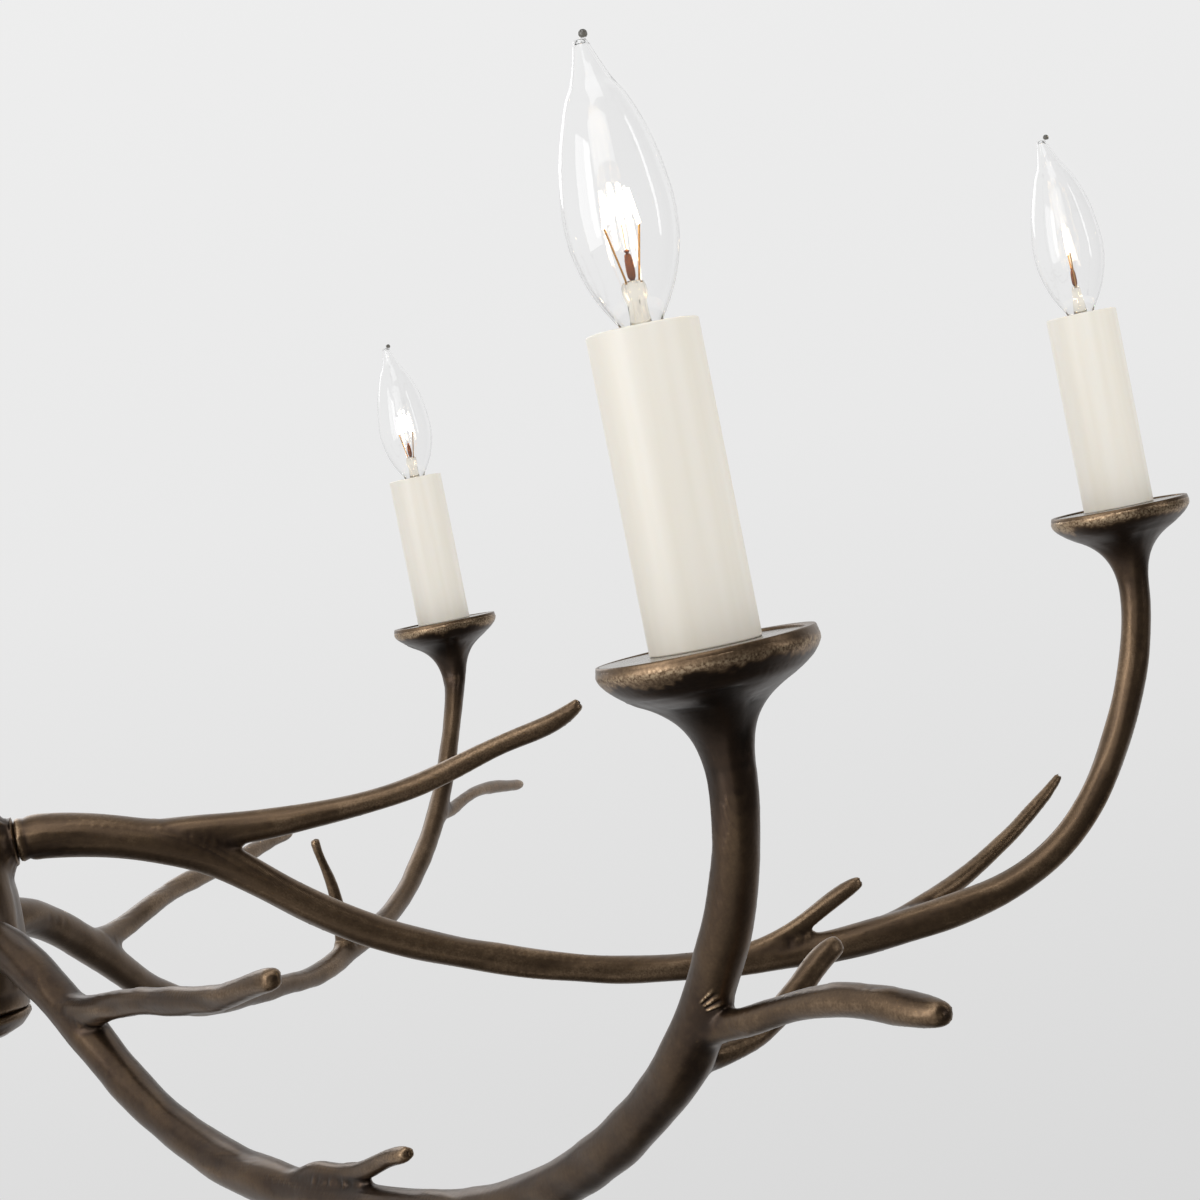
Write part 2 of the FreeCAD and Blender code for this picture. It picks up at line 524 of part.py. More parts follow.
def spine_stations(number):
    """The arm's centre line as ((reach, height), diameter) from its seat to the end of the cup's flare."""
    if is_high(number):
        root, end = HIGH_ARM_ROOT, HIGH_ARM_END
    elif number == FAR_ARM:
        root, end = FAR_ARM_ROOT, FAR_ARM_END
    else:
        root, end = LOW_ARM_ROOT, LOW_ARM_END
    stations = [((SEAT_REACH, seat_level(number)), root[0][2])]
    stations += [((SEAT_REACH + stretched(out), CUP_LEVEL - drop), wide) for out, drop, wide in root]
    stations += [((CUP_REACH - stretched(back), CUP_LEVEL - drop), wide) for back, drop, wide in end]
    return stations + [((CUP_REACH, CUP_LEVEL - TRUMPET_DROP), STEM_DIAMETER)]


def tines_of(number):
    if is_high(number):
        return HIGH_ARM_TINES
    return FAR_ARM_TINES if number == FAR_ARM else LOW_ARM_TINES


def ring(diameter, place, normal, side):
    """A circle square to a direction, whose start lies to one side so that lofts don't twist."""
    circle = Part.Wire(Part.makeCircle(diameter / 2))
    circle.Placement = FreeCAD.Placement(place, FreeCAD.Rotation(side, V(), normal, "ZXY"))
    return circle


def horn(points, diameters, side, first_normal=None, last_normal=None):
    """A round branch lofted through circles that stand square to a smooth curve through the points."""
    curve = Part.BSplineCurve()
    curve.interpolate(points)
    rings = []
    for place, diameter in zip(points, diameters):
        normal = curve.tangent(curve.parameter(place))[0]
        if place is points[0] and first_normal:
            normal = first_normal
        if place is points[-1] and last_normal:
            normal = last_normal
        rings.append(ring(diameter, place, normal, side))
    return Part.makeLoft(rings, True), normal


def tine(root, heading, steps):
    """A tapering branch in the upright plane of its heading, closed by a half ball at its tip."""
    forward = outward(heading)
    points = [root + forward * stretched(step) + UP * rise for step, rise, wide in steps]
    diameters = [wide for step, rise, wide in steps]
    body, direction = horn(points, diameters, outward(heading - 90))
    tip = Part.makeSphere(diameters[-1] / 2, points[-1], direction, 0, 90, 360)
    return body.fuse(tip)


def spine_point(points, reach):
    """The point of the smooth centre line at this reach from the hub axis."""
    curve = Part.BSplineCurve()
    curve.interpolate(points)
    low, high = curve.FirstParameter, curve.LastParameter
    for halving in range(40):
        middle = (low + high) / 2
        if curve.value(middle).x < reach:
            low = middle
        else:
            high = middle
    return curve.value(low)


def cup():
    """The trumpet that the stem opens into: a flat top with a low lip and a thick round rim."""
    edge, stem = CUP_DIAMETER / 2, STEM_DIAMETER / 2
    profile = [(stem, -TRUMPET_DROP)] + [(stem + out, -drop) for out, drop in TRUMPET_FLARE]
    return turned_smooth(profile + [(edge - inset, -drop) for inset, drop in CUP_RIM])


def antler_arm(number):
    """One casting, drawn along +X: spine, tines, cup, and the bores for the pipes at its two ends."""
    hand = -1 if number in MIRRORED_ARMS else 1
    stations = spine_stations(number)
    points = [OUT * reach + UP * height for (reach, height), wide in stations]
    body, end = horn(points, [wide for place, wide in stations], outward(90), OUT, UP)
    cup_centre = OUT * CUP_REACH + UP * CUP_LEVEL
    body = body.fuse(along(cup(), cup_centre, UP))
    for side, distance, heading, steps in tines_of(number):
        along_arm = stretched(distance)
        reach = SEAT_REACH + along_arm if side == FROM_SEAT else CUP_REACH - along_arm
        body = body.fuse(tine(spine_point(points, reach), hand * heading, steps))
    seat = OUT * SEAT_REACH + UP * seat_level(number)
    body = body.cut(along(rod(THREAD_DIAMETER, 0, ROOT_BORE_DEPTH), seat, OUT))
    recess = rod(CUP_DIAMETER - 2 * CUP_LIP, -CUP_RECESS, 0)
    body = body.cut(along(recess, cup_centre, UP))
    body = body.cut(along(rod(THREAD_DIAMETER, -CUP_BORE_DEPTH, 0), cup_centre, UP))
    return turn_to(body, number)


# ---- candles: everything stands on the cup at height 0 and is then moved to its arm ----

def on_cup(shape, number):
    return turn_to(along(shape, OUT * CUP_REACH + UP * (CUP_LEVEL - CUP_RECESS), UP), number)


def candle_sleeve():
    radius = SLEEVE_DIAMETER / 2
    body = turned([(radius, 0), (radius, SLEEVE_HEIGHT - SLEEVE_EDGE),
                   (radius - SLEEVE_EDGE, SLEEVE_HEIGHT)])
    return body.cut(rod(SLEEVE_BORE, 0, SLEEVE_HEIGHT))


def socket_nipple():
    return lamp_pipe(CUP_RECESS - CUP_BORE_DEPTH, NIPPLE_RISE)


def socket_leg():
    """The bent steel leg: a foot on the cup, an upright strip and a shelf under the socket body."""
    foot = tube(LEG_BASE_DIAMETER, THREAD_DIAMETER, 0, LEG_THICKNESS)
    edge = SOCKET_DIAMETER / 2
    strip = Part.makeBox(LEG_THICKNESS, LEG_WIDTH, SOCKET_BOTTOM,
                         V(edge - LEG_THICKNESS, -LEG_WIDTH / 2, 0))
    shelf = Part.makeBox(edge + LEG_WIDTH / 2, LEG_WIDTH, LEG_THICKNESS,
                         V(-LEG_WIDTH / 2, -LEG_WIDTH / 2, SOCKET_BOTTOM - LEG_THICKNESS))
    return foot.fuse([strip, shelf]).removeSplitter()


def socket_nut():
    return along(hex_nut(), UP * LEG_THICKNESS, UP)


def shell_bore():
    return BASE_DIAMETER + 2 * BASE_CLEARANCE


def socket_body():
    body = rod(SOCKET_DIAMETER, SOCKET_BOTTOM, SOCKET_TOP)
    pocket = rod(shell_bore() + 2 * SHELL_WALL, SOCKET_BOTTOM + SOCKET_FLOOR, SOCKET_TOP)
    return body.cut(pocket)


def socket_shell():
    """The screw shell, a thin brass cup lining the socket body."""
    return tube(shell_bore() + 2 * SHELL_WALL, shell_bore(), SOCKET_BOTTOM + SOCKET_FLOOR, SOCKET_TOP)


def socket_contact():
    return rod(CONTACT_DIAMETER, SOCKET_BOTTOM + SOCKET_FLOOR, BASE_FOOT)


def bulb_base():
    """Screw base: centre contact, insulator cone, rolled thread drawn as rings, and a short skirt."""
    radius, nub = BASE_DIAMETER / 2, CONTACT_DIAMETER / 2
    cone_top = BASE_FOOT + BASE_NUB_HEIGHT + BASE_CONE_HEIGHT
    outline = [(nub, BASE_FOOT), (nub, BASE_FOOT + BASE_NUB_HEIGHT), (radius - BASE_CONE_STEP, cone_top)]
    first = cone_top + THREAD_START
    for turn in range(THREAD_TURNS):
        foot = first + turn * THREAD_PITCH
        outline += [(radius - THREAD_DEPTH, foot), (radius, foot + THREAD_FLANK * THREAD_PITCH),
                    (radius, foot + (1 - THREAD_FLANK) * THREAD_PITCH)]
    last = first + THREAD_TURNS * THREAD_PITCH
    outline += [(radius - THREAD_DEPTH, last), (radius - THREAD_DEPTH, BULB_FOOT)]
    return turned(outline)


def bend_at(height):
    """How far the envelope's centre has leant over at this height: nothing below the shoulder."""
    share = max(0.0, height - BEND_START) / (BULB_SHAPE[-1][0] - BEND_START)
    return TIP_BEND * share ** 2


def flame_loft(sections):
    """Level circles from (height above the sleeve, radius), lofted along the leaning centre line."""
    lean = outward(BEND_HEADING)
    circles = []
    for height, radius in sections:
        centre = lean * bend_at(height) + UP * (SLEEVE_HEIGHT + height)
        circles.append(Part.Wire(Part.makeCircle(radius, centre, UP)))
    return Part.makeLoft(circles, True)


def glass_stem():
    """The tube that rises inside the neck and ends in the pinch round the wires."""
    press_start, press_end = SLEEVE_HEIGHT + PRESS_START, SLEEVE_HEIGHT + PRESS_END
    foot, stalk, press = STEM_FOOT_DIAMETER / 2, STEM_TUBE_DIAMETER / 2, PRESS_DIAMETER / 2
    return turned([(foot, BULB_FOOT), (foot, BULB_FOOT + GLASS_WALL), (stalk, SLEEVE_HEIGHT),
                   (stalk, press_start - press), (press, press_start), (press, press_end - PRESS_CHAMFER),
                   (press - PRESS_CHAMFER, press_end)])


def bulb_glass():
    """The clear envelope with its bent tip, and the glass stem that seals it below."""
    outer_sections = [(height, width / 2) for height, width in BULB_SHAPE]
    tip_height, tip_radius = outer_sections[-1]
    tip = outward(BEND_HEADING) * bend_at(tip_height) + UP * (SLEEVE_HEIGHT + tip_height)
    outer = flame_loft(outer_sections).fuse(Part.makeSphere(tip_radius, tip))
    inner_sections = [(height, radius - GLASS_WALL) for height, radius in outer_sections[:-1]]
    inner_sections[0] = (inner_sections[0][0] + GLASS_WALL, inner_sections[0][1])
    return outer.cut(flame_loft(inner_sections).cut(glass_stem()))


def wire(start, end, radius):
    step = end - start
    return Part.makeCylinder(radius, step.Length, start, step)


def bulb_filament():
    """Two lead wires and a centre arbor on the stem, with the coiled filament arched over them."""
    side_way = outward(BEND_HEADING - 90)
    press = UP * (SLEEVE_HEIGHT + PRESS_END)
    peaks = [press + side_way * (PEAK_SPREAD * side) + UP * FILAMENT_PEAK for side in (-1, 1)]
    pieces = [wire(peaks[0], peaks[1], FILAMENT_RADIUS)]
    for side, peak in zip((-1, 1), peaks):
        foot = press + side_way * (LEAD_SPREAD * side)
        bend = press + side_way * (FILAMENT_SPREAD * side) + UP * LEAD_RISE
        pieces += [wire(foot, bend, LEAD_RADIUS), Part.makeSphere(FILAMENT_RADIUS, bend),
                   wire(bend, peak, FILAMENT_RADIUS), Part.makeSphere(FILAMENT_RADIUS, peak)]
    arbor = wire(press, press + UP * ARBOR_RISE, ARBOR_RADIUS)
    hook = wire(press + UP * ARBOR_RISE, press + UP * FILAMENT_PEAK, LEAD_RADIUS)
    return arbor.fuse([hook] + pieces)


def build():
    os.makedirs("parts", exist_ok=True)
    save("mounting_strap", mounting_strap())
    save("swivel_stud", swivel_stud())
    save("strap_locknut", along(hex_nut(), V(0, 0, -STRAP_THICKNESS - NUT_THICKNESS), UP))
    save("ground_screw", ground_screw())
    save("canopy", canopy())
    save("canopy_collar", canopy_collar())
    save("swivel_yoke", swivel_yoke())
    save("swivel_pin", swivel_pin())
    save("swivel_knuckle", swivel_knuckle())
    save("rod_upper", tube(ROD_DIAMETER, THREAD_DIAMETER, COUPLER_TOP, NECK_BOTTOM))
    save("rod_lower", tube(ROD_DIAMETER, THREAD_DIAMETER, CAP_TOP, COUPLER_BOTTOM))
    save("rod_coupler", rod_coupler())
    save("rod_nipples", rod_nipples())
    save("trunk", trunk())
    save("trunk_cap", trunk_cap())
    save("tie_pipe", tie_pipe())
    save("tie_nut", tie_nut())
    save("hub_body", hub_body())
    save("hub_cover", hub_cover())
    save("finial", finial())
    numbers = range(1, ARM_COUNT + 1)
    save("arm_nipples", Part.makeCompound([arm_nipple(number) for number in numbers]))
    save("arm_locknuts", Part.makeCompound([arm_locknut(number) for number in numbers]))
    groups = {"socket_nipples": socket_nipple(), "socket_legs": socket_leg(), "socket_nuts": socket_nut(),
              "socket_bodies": socket_body(), "socket_shells": socket_shell(),
              "socket_contacts": socket_contact()}
    for name, shape in groups.items():
        save(name, Part.makeCompound([on_cup(shape, number) for number in numbers]))
    for number in numbers:
        save("antler_arm_%d" % number, antler_arm(number))
        save("candle_sleeve_%d" % number, on_cup(candle_sleeve(), number))
        save("bulb_base_%d" % number, on_cup(bulb_base(), number))
        save("bulb_glass_%d" % number, on_cup(bulb_glass(), number))
        save("bulb_filament_%d" % number, on_cup(bulb_filament(), number))


build()
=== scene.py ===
# %% [markdown]
# # An antler chandelier
# Six cast bronze "antler" arms leave a hub, and each ends in a cup with an ivory candle sleeve and a
# clear flame bulb. The engineering model is loaded first as a fixed frame, and each visible piece is then
# given the skin and the finish of the real one, in the place that the frame gives it.

# %% Load the frame
import math

import bpy
import numpy as np
from mathutils import Matrix, Vector


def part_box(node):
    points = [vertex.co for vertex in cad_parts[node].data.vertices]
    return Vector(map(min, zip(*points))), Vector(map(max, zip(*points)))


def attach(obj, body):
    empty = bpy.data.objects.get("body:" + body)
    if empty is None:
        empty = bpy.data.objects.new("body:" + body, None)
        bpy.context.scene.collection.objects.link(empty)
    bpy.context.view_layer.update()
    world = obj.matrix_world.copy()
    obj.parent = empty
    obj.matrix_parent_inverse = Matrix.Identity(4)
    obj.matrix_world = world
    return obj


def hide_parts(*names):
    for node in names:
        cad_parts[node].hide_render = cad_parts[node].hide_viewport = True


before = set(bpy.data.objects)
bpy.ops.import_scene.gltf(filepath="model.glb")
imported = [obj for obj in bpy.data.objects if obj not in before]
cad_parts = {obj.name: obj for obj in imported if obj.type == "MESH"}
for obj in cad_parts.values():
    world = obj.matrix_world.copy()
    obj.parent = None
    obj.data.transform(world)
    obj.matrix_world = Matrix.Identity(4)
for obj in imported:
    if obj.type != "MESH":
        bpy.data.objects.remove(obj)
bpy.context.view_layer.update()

# %% [markdown]
# All sizes below are in millimetres, as a maker would say them, and MM turns them to Blender's metres.
# The heights are those of the lamp: zero is the ceiling, and the cups' tops lie 667.2 mm below it.

# %% Sizes shared by several pieces
MM = 0.001
ARMS = range(1, 7)
SEAT_REACH = 42.0           # hub axis to the face that each arm is bolted to
CUP_REACH = 551.0           # hub axis to each candle
CUP_LEVEL = -667.2          # the cups' rims
CUP_FLOOR = -668.0          # the shallow recess that the sleeves stand in
SLEEVE_TOP = -579.1


def arm_turn(number):
    """The turn about the hub that brings what was made for arm 1 to this arm."""
    return Matrix.Rotation(math.radians(60 * (number - 1)), 4, "Z")


# %% [markdown]
# The photograph was taken with a long lens from just above the cups' level, and the camera was rolled by
# about 11 degrees, so upright candles lean to the left in it. The camera is built from three directions:
# where it looks, its right and its up.

# %% The camera
LOOK_TURN, LOOK_DOWN, ROLL = math.radians(7.3), math.radians(1.46), math.radians(11.4)
look = Vector((math.sin(LOOK_TURN) * math.cos(LOOK_DOWN), math.cos(LOOK_TURN) * math.cos(LOOK_DOWN),
               -math.sin(LOOK_DOWN)))
level_right = Vector((math.cos(LOOK_TURN), -math.sin(LOOK_TURN), 0))
level_up = level_right.cross(look)
right = level_right * math.cos(ROLL) - level_up * math.sin(ROLL)
up = level_up * math.cos(ROLL) + level_right * math.sin(ROLL)
camera_data = bpy.data.cameras.new("Camera")
camera_data.lens = 85
camera_data.sensor_width = 36
camera = bpy.data.objects.new("Camera", camera_data)
bpy.context.collection.objects.link(camera)
turned_axes = Matrix((right, up, -look)).transposed().to_4x4()
camera.matrix_world = Matrix.Translation(Vector((151.5, -1241.3, -630.1)) * MM) @ turned_axes
bpy.context.scene.camera = camera
print("camera at", [round(value, 4) for value in camera.location])

# %% [markdown]
# Colours are written as the hex values that a screen shows. Shaders work in linear light, so one function
# turns them. A second small helper adds a node, with its settings and with its inputs set or linked.

# %% Colour and node helpers


def linear(hex_colour):
    """An sRGB hex colour as the linear RGBA that shaders expect."""
    parts = [int(hex_colour[place:place + 2], 16) / 255 for place in (1, 3, 5)]
    return tuple(part / 12.92 if part <= 0.04045 else ((part + 0.055) / 1.055) ** 2.4
                 for part in parts) + (1.0,)


def add_node(tree, kind, inputs=None, **settings):
    """Adds a shader node. Inputs are given by name or number, as a value or as the socket to link."""
    node = tree.nodes.new("ShaderNode" + kind)
    for name, value in settings.items():
        setattr(node, name, value)
    for place, value in (inputs or {}).items():
        if isinstance(value, bpy.types.NodeSocket):
            tree.links.new(value, node.inputs[place])
        else:
            node.inputs[place].default_value = value
    return node


def new_material(name, **surface):
    """A material with one Principled shader, whose sockets are set by name."""
    material = bpy.data.materials.new(name)
    material.use_nodes = True
    shader = material.node_tree.nodes["Principled BSDF"]
    for socket, value in surface.items():
        shader.inputs[socket.replace("_", " ")].default_value = value
    return material, material.node_tree, shader


def shade_steps(tree, factor, steps):
    """A colour ramp through (position, hex colour) steps."""
    ramp = add_node(tree, "ValToRGB", {0: factor})
    elements = ramp.color_ramp.elements
    while len(elements) < len(steps):
        elements.new(0.5)
    for element, (position, colour) in zip(elements, steps):
        element.position = position
        element.color = linear(colour)
    return ramp.outputs["Color"]


# %% [markdown]
# The lamp hangs in a pale studio. The world lights it softly from all round, and what the camera and the
# clear glass see of it is the photograph's plain grey, a little lighter above than below. What lies behind
# the camera on the right, and the floor, are darker. The bronze mirrors them, which draws the dark bands on
# it, and pale cards on the left and in front, which draw the light ones. The cards light nothing.

# %% The studio
WORLD_LIGHT = 0.845
DARK_SIDE = (0.75, -0.65, 0.10)     # the way to the darkest part of the room
world = bpy.data.worlds.new("Studio")
world.use_nodes = True
bpy.context.scene.world = world
bpy.context.scene.view_settings.view_transform = "Standard"
air = world.node_tree
air.nodes.clear()
direction = add_node(air, "TexCoord").outputs["Generated"]
height = add_node(air, "SeparateXYZ", {0: direction}).outputs["Z"]
rise = add_node(air, "MapRange", {0: height, 1: -0.28, 2: 0.22}).outputs[0]
backdrop_colour = shade_steps(air, rise, [(0.0, "#D8D8D8"), (0.6, "#E9E9E9"), (1.0, "#EEEEEE")])
towards_dark = add_node(air, "VectorMath", {0: direction, 1: DARK_SIDE}, operation="DOT_PRODUCT")
dark_side = add_node(air, "MapRange", {0: towards_dark.outputs["Value"], 1: 0.30, 2: 0.64, 3: 1.0, 4: 0.1},
                     interpolation_type="SMOOTHSTEP").outputs[0]
dark_floor = add_node(air, "MapRange", {0: height, 1: -0.9, 2: -0.6, 3: 0.12, 4: 1.0},
                      interpolation_type="SMOOTHSTEP").outputs[0]
dark_room = add_node(air, "Math", {0: dark_side, 1: dark_floor}, operation="MULTIPLY").outputs[0]
room_colour = add_node(air, "Mix", {0: 1.0, 6: backdrop_colour, 7: dark_room}, data_type="RGBA",
                       blend_type="MULTIPLY").outputs[2]
path = add_node(air, "LightPath").outputs
plainly_seen = add_node(air, "Math", {0: path["Is Camera Ray"], 1: path["Is Transmission Ray"]},
                        operation="MAXIMUM")
mirrored = add_node(air, "Mix", {0: plainly_seen.outputs[0], 6: room_colour, 7: backdrop_colour},
                    data_type="RGBA").outputs[2]
seen = add_node(air, "Math", {0: plainly_seen.outputs[0], 1: path["Is Glossy Ray"]}, operation="MAXIMUM")
soft_light = add_node(air, "Background", {"Color": linear("#F8F8F8"), "Strength": WORLD_LIGHT})
backdrop = add_node(air, "Background", {"Color": mirrored, "Strength": 1.0})
both = add_node(air, "MixShader", {0: seen.outputs[0], 1: soft_light.outputs[0], 2: backdrop.outputs[0]})
add_node(air, "OutputWorld", {0: both.outputs[0]})


def softbox(name, place, aim, width, tall, watts, only_mirrored=False):
    """A soft rectangular lamp, in metres, turned to its aim and unseen by the camera and through glass."""
    data = bpy.data.lights.new(name, "AREA")
    data.shape = "RECTANGLE"
    data.size, data.size_y = width, tall
    data.energy = watts
    lamp = bpy.data.objects.new(name, data)
    bpy.context.collection.objects.link(lamp)
    lamp.location = place
    lamp.rotation_mode = "QUATERNION"
    lamp.rotation_quaternion = (Vector(aim) - Vector(place)).to_track_quat("-Z", "Y")
    lamp.visible_camera = False
    lamp.visible_transmission = False
    lamp.visible_diffuse = not only_mirrored
    return lamp


softbox("Key", (-1.6, -1.6, 0.0), (0.2, -0.45, -0.7), 0.55, 1.7, 6.5)
softbox("Card", (-1.8, -1.15, -0.1), (0.25, -0.45, -0.7), 1.5, 1.9, 22.0, only_mirrored=True)
softbox("Edge", (2.0, -1.0, -0.1), (0.3, -0.4, -0.7), 0.2, 1.6, 4.0)
softbox("Top", (0.2, -1.0, 1.2), (0.1, -0.3, -0.7), 1.2, 0.9, 7.0)
softbox("Front card", (-0.3, -1.9, 0.7), (0.1, 0.0, -0.75), 1.7, 0.9, 9.0, only_mirrored=True)
softbox("Back", (-0.6, 2.2, 0.6), (0.0, 0.0, -0.6), 1.4, 1.4, 10.0)

# %% [markdown]
# The studio floor is a pale disc 2.4 m under the ceiling, where a room would have its floor. It takes the
# lamp's shadow, and it fades out towards its rim and from below, so that it never hides the lamp.

# %% The floor
FLOOR_LEVEL, FLOOR_RADIUS = -2.4, 4.2


def deselect():
    """Leaves nothing selected."""
    for chosen in list(bpy.context.selected_objects):
        chosen.select_set(False)


deselect()
bpy.ops.mesh.primitive_circle_add(vertices=128, radius=FLOOR_RADIUS, fill_type="NGON",
                                  location=(0, 0, FLOOR_LEVEL))
floor = bpy.context.object
floor.name = "Studio_floor"
floor_paint, tree, shader = new_material("Studio floor", Base_Color=linear("#E2E2E2"), Roughness=0.9)
spot = add_node(tree, "TexCoord").outputs["Object"]
distance = add_node(tree, "VectorMath", {0: spot}, operation="LENGTH").outputs["Value"]
fade = add_node(tree, "MapRange", {0: distance, 1: FLOOR_RADIUS * 0.45, 2: FLOOR_RADIUS * 0.98},
                interpolation_type="SMOOTHSTEP").outputs[0]
underside = add_node(tree, "NewGeometry").outputs["Backfacing"]
gone = add_node(tree, "Math", {0: fade, 1: underside}, operation="MAXIMUM").outputs[0]
clear = add_node(tree, "BsdfTransparent")
shown = add_node(tree, "MixShader", {0: gone, 1: shader.outputs[0], 2: clear.outputs[0]})
tree.links.new(shown.outputs[0], tree.nodes["Material Output"].inputs[0])
floor.data.materials.append(floor_paint)
floor.visible_glossy = False        # the bronze mirrors the dark room below, not this disc

# %% [markdown]
# ## Cast bronze with a rubbed patina
# The arms are sand-cast metal with a dark brown patina. The founder rubs it back on ridges, rims and tips,
# where the tan metal shows, and leaves it dark in the hollows. Each casting carries a float attribute that says
# how much was rubbed away; on the arms it also holds painted light and shade: higher tones on arms 1 and 2,
# and painted shade under each cup. The sand's grain, about a millimetre, grows with the fourth power of
# that, so it shows on the cups' bright bands. A coat of wax gives the whole a paler, softer gloss.

# %% The bronze finish


def bronze_finish(name, steps, has_wear_and_light=True, grain_size=0.9, grain_depth=0.03, roughness=(0.33, 0.40)):
    """Waxed dark metal. The steps give its colours from the untouched patina to the rubbed metal."""
    material, tree, shader = new_material(name, Metallic=0.88, Coat_Weight=0.2, Coat_Roughness=0.32)
    spot = add_node(tree, "TexCoord").outputs["Object"]
    cloud = add_node(tree, "TexNoise", {"Vector": spot, "Scale": 1 / (18 * MM), "Detail": 3.0}).outputs[0]
    grain = add_node(tree, "TexNoise", {"Vector": spot, "Scale": 1 / (grain_size * MM), "Detail": 2.0,
                                        "Roughness": 0.6}).outputs[0]
    speck = add_node(tree, "TexNoise", {"Vector": spot, "Scale": 1 / (3.4 * MM), "Detail": 2.0}).outputs[0]
    if has_wear_and_light:
        wear_and_painted_light = add_node(tree, "Attribute", attribute_name="rubbed_and_painted_light").outputs["Fac"]
    else:
        wear_and_painted_light = add_node(tree, "MapRange", {0: cloud, 1: 0.3, 2: 0.75, 3: 0.12, 4: 0.42}).outputs[0]
    uneven = add_node(tree, "MapRange", {0: cloud, 1: 0.3, 2: 0.7, 3: -0.025, 4: 0.025}).outputs[0]
    patchy = add_node(tree, "MapRange", {0: speck, 1: 0.3, 2: 0.7, 3: -0.02, 4: 0.02}).outputs[0]
    gritty = add_node(tree, "MapRange", {0: grain, 1: 0.35, 2: 0.65, 3: -0.9, 4: 0.9}).outputs[0]
    sandy = add_node(tree, "Math", {0: wear_and_painted_light, 1: 4.0}, operation="POWER").outputs[0]
    gritty = add_node(tree, "Math", {0: gritty, 1: sandy}, operation="MULTIPLY").outputs[0]
    total = add_node(tree, "Math", {0: wear_and_painted_light, 1: uneven}, operation="ADD").outputs[0]
    total = add_node(tree, "Math", {0: total, 1: gritty}, operation="ADD").outputs[0]
    total = add_node(tree, "Math", {0: total, 1: patchy}, operation="ADD").outputs[0]
    colour = shade_steps(tree, total, steps)
    tree.links.new(colour, shader.inputs["Base Color"])
    dull = add_node(tree, "MapRange", {0: speck, 1: 0.3, 2: 0.7, 3: roughness[0], 4: roughness[1]})
    tree.links.new(dull.outputs[0], shader.inputs["Roughness"])
    bump = add_node(tree, "Bump", {"Strength": 0.55, "Distance": grain_depth * MM, "Height": grain})
    tree.links.new(bump.outputs[0], shader.inputs["Normal"])
    return material


CAST_STEPS = [(0.0, "#20170F"), (0.25, "#3D2E22"), (0.45, "#5D4A36"), (0.7, "#8A735A"),
              (1.0, "#B39D80")]
cast_bronze = bronze_finish("Cast bronze, rubbed patina", CAST_STEPS)
cup_bronze = bronze_finish("Turned bronze cup face", [(0.0, "#6F675C"), (0.5, "#8F877B"), (1.0, "#A89F92")],
                           has_wear_and_light=False, grain_size=0.8, grain_depth=0.008, roughness=(0.2, 0.28))
painted_bronze = bronze_finish("Bronze-finished steel", [(0.0, "#2A2018"), (0.4, "#443528"),
                                                         (1.0, "#6A5744")],
                               has_wear_and_light=False, grain_size=2.0, grain_depth=0.012, roughness=(0.3, 0.4))

# %% [markdown]
# ## The castings' skin
# The engineering model has the arms' true outline, but its forks are sharp and its branches are perfectly
# round. A real antler casting has webs in its forks and long, hand-worked ridges. The model is copied and
# given an even skin of small squares (a voxel remesh), and then each point is moved a little: forks are
# filled first, then ridges run along the branches, then the maker's lumps and the creases pulled into the
# forks come on top.

# %% Reading and writing a mesh


def choose(piece):
    """Makes a piece the only selected and active one."""
    deselect()
    piece.select_set(True)
    bpy.context.view_layer.objects.active = piece


def merged_copy(node, name):
    """A copy of an engineering node whose loose triangles are joined."""
    piece = bpy.data.objects.new(name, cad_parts[node].data.copy())
    bpy.context.collection.objects.link(piece)
    piece.data.materials.clear()
    choose(piece)
    bpy.ops.object.mode_set(mode="EDIT")
    bpy.ops.mesh.select_all(action="SELECT")
    bpy.ops.mesh.remove_doubles(threshold=0.005 * MM)
    bpy.ops.object.mode_set(mode="OBJECT")
    return piece


def vectors_of(collection, attribute):
    """The attribute's three numbers for each item of a mesh's collection, as rows."""
    values = np.empty(len(collection) * 3, dtype=np.float32)
    collection.foreach_get(attribute, values)
    return values.reshape(-1, 3).astype(np.float64)


class Skin:
    """A mesh's points with their neighbours, so that values can be averaged along the surface."""

    def __init__(self, mesh):
        self.mesh = mesh
        self.points = vectors_of(mesh.vertices, "co")
        self.normals = vectors_of(mesh.vertex_normals, "vector")
        ends = np.empty(len(mesh.edges) * 2, dtype=np.int32)
        mesh.edges.foreach_get("vertices", ends)
        self.ends = ends.reshape(-1, 2)
        self.weights = np.ones(len(self.ends))

    def mean(self, values):
        """The weighted mean of each point's neighbours."""
        first, second = self.ends.T
        size = len(self.points)
        total = np.bincount(first, self.weights, size) + np.bincount(second, self.weights, size)
        columns = values.reshape(size, -1)
        means = np.empty_like(columns)
        for place in range(columns.shape[1]):
            column = columns[:, place]
            means[:, place] = np.bincount(first, self.weights * column[second], size)
            means[:, place] += np.bincount(second, self.weights * column[first], size)
        return (means / np.maximum(total, 1e-9)[:, None]).reshape(values.shape)

    def spread(self, values, times):
        """Averages values with their neighbours' a number of times."""
        for turn in range(times):
            values = 0.5 * values + 0.5 * self.mean(values)
        return values

    def store(self):
        """Writes the points to the mesh and renews the normals."""
        self.mesh.vertices.foreach_set("co", self.points.astype(np.float32).ravel())
        self.mesh.update()
        self.normals = vectors_of(self.mesh.vertex_normals, "vector")


def ripples(points, wavelength, seed, waves=40):
    """Smooth seeded bumps of about one wavelength: sine waves in random directions, added up."""
    chance = np.random.default_rng(seed)
    directions = chance.normal(size=(waves, 3))
    directions /= np.linalg.norm(directions, axis=1)[:, None]
    lengths = wavelength * chance.uniform(0.7, 1.5, waves)
    phases = chance.uniform(0, 2 * math.pi, waves)
    turns = points @ (directions * (2 * math.pi / lengths)[:, None]).T + phases
    return np.sin(turns).sum(axis=1) * math.sqrt(2 / waves)


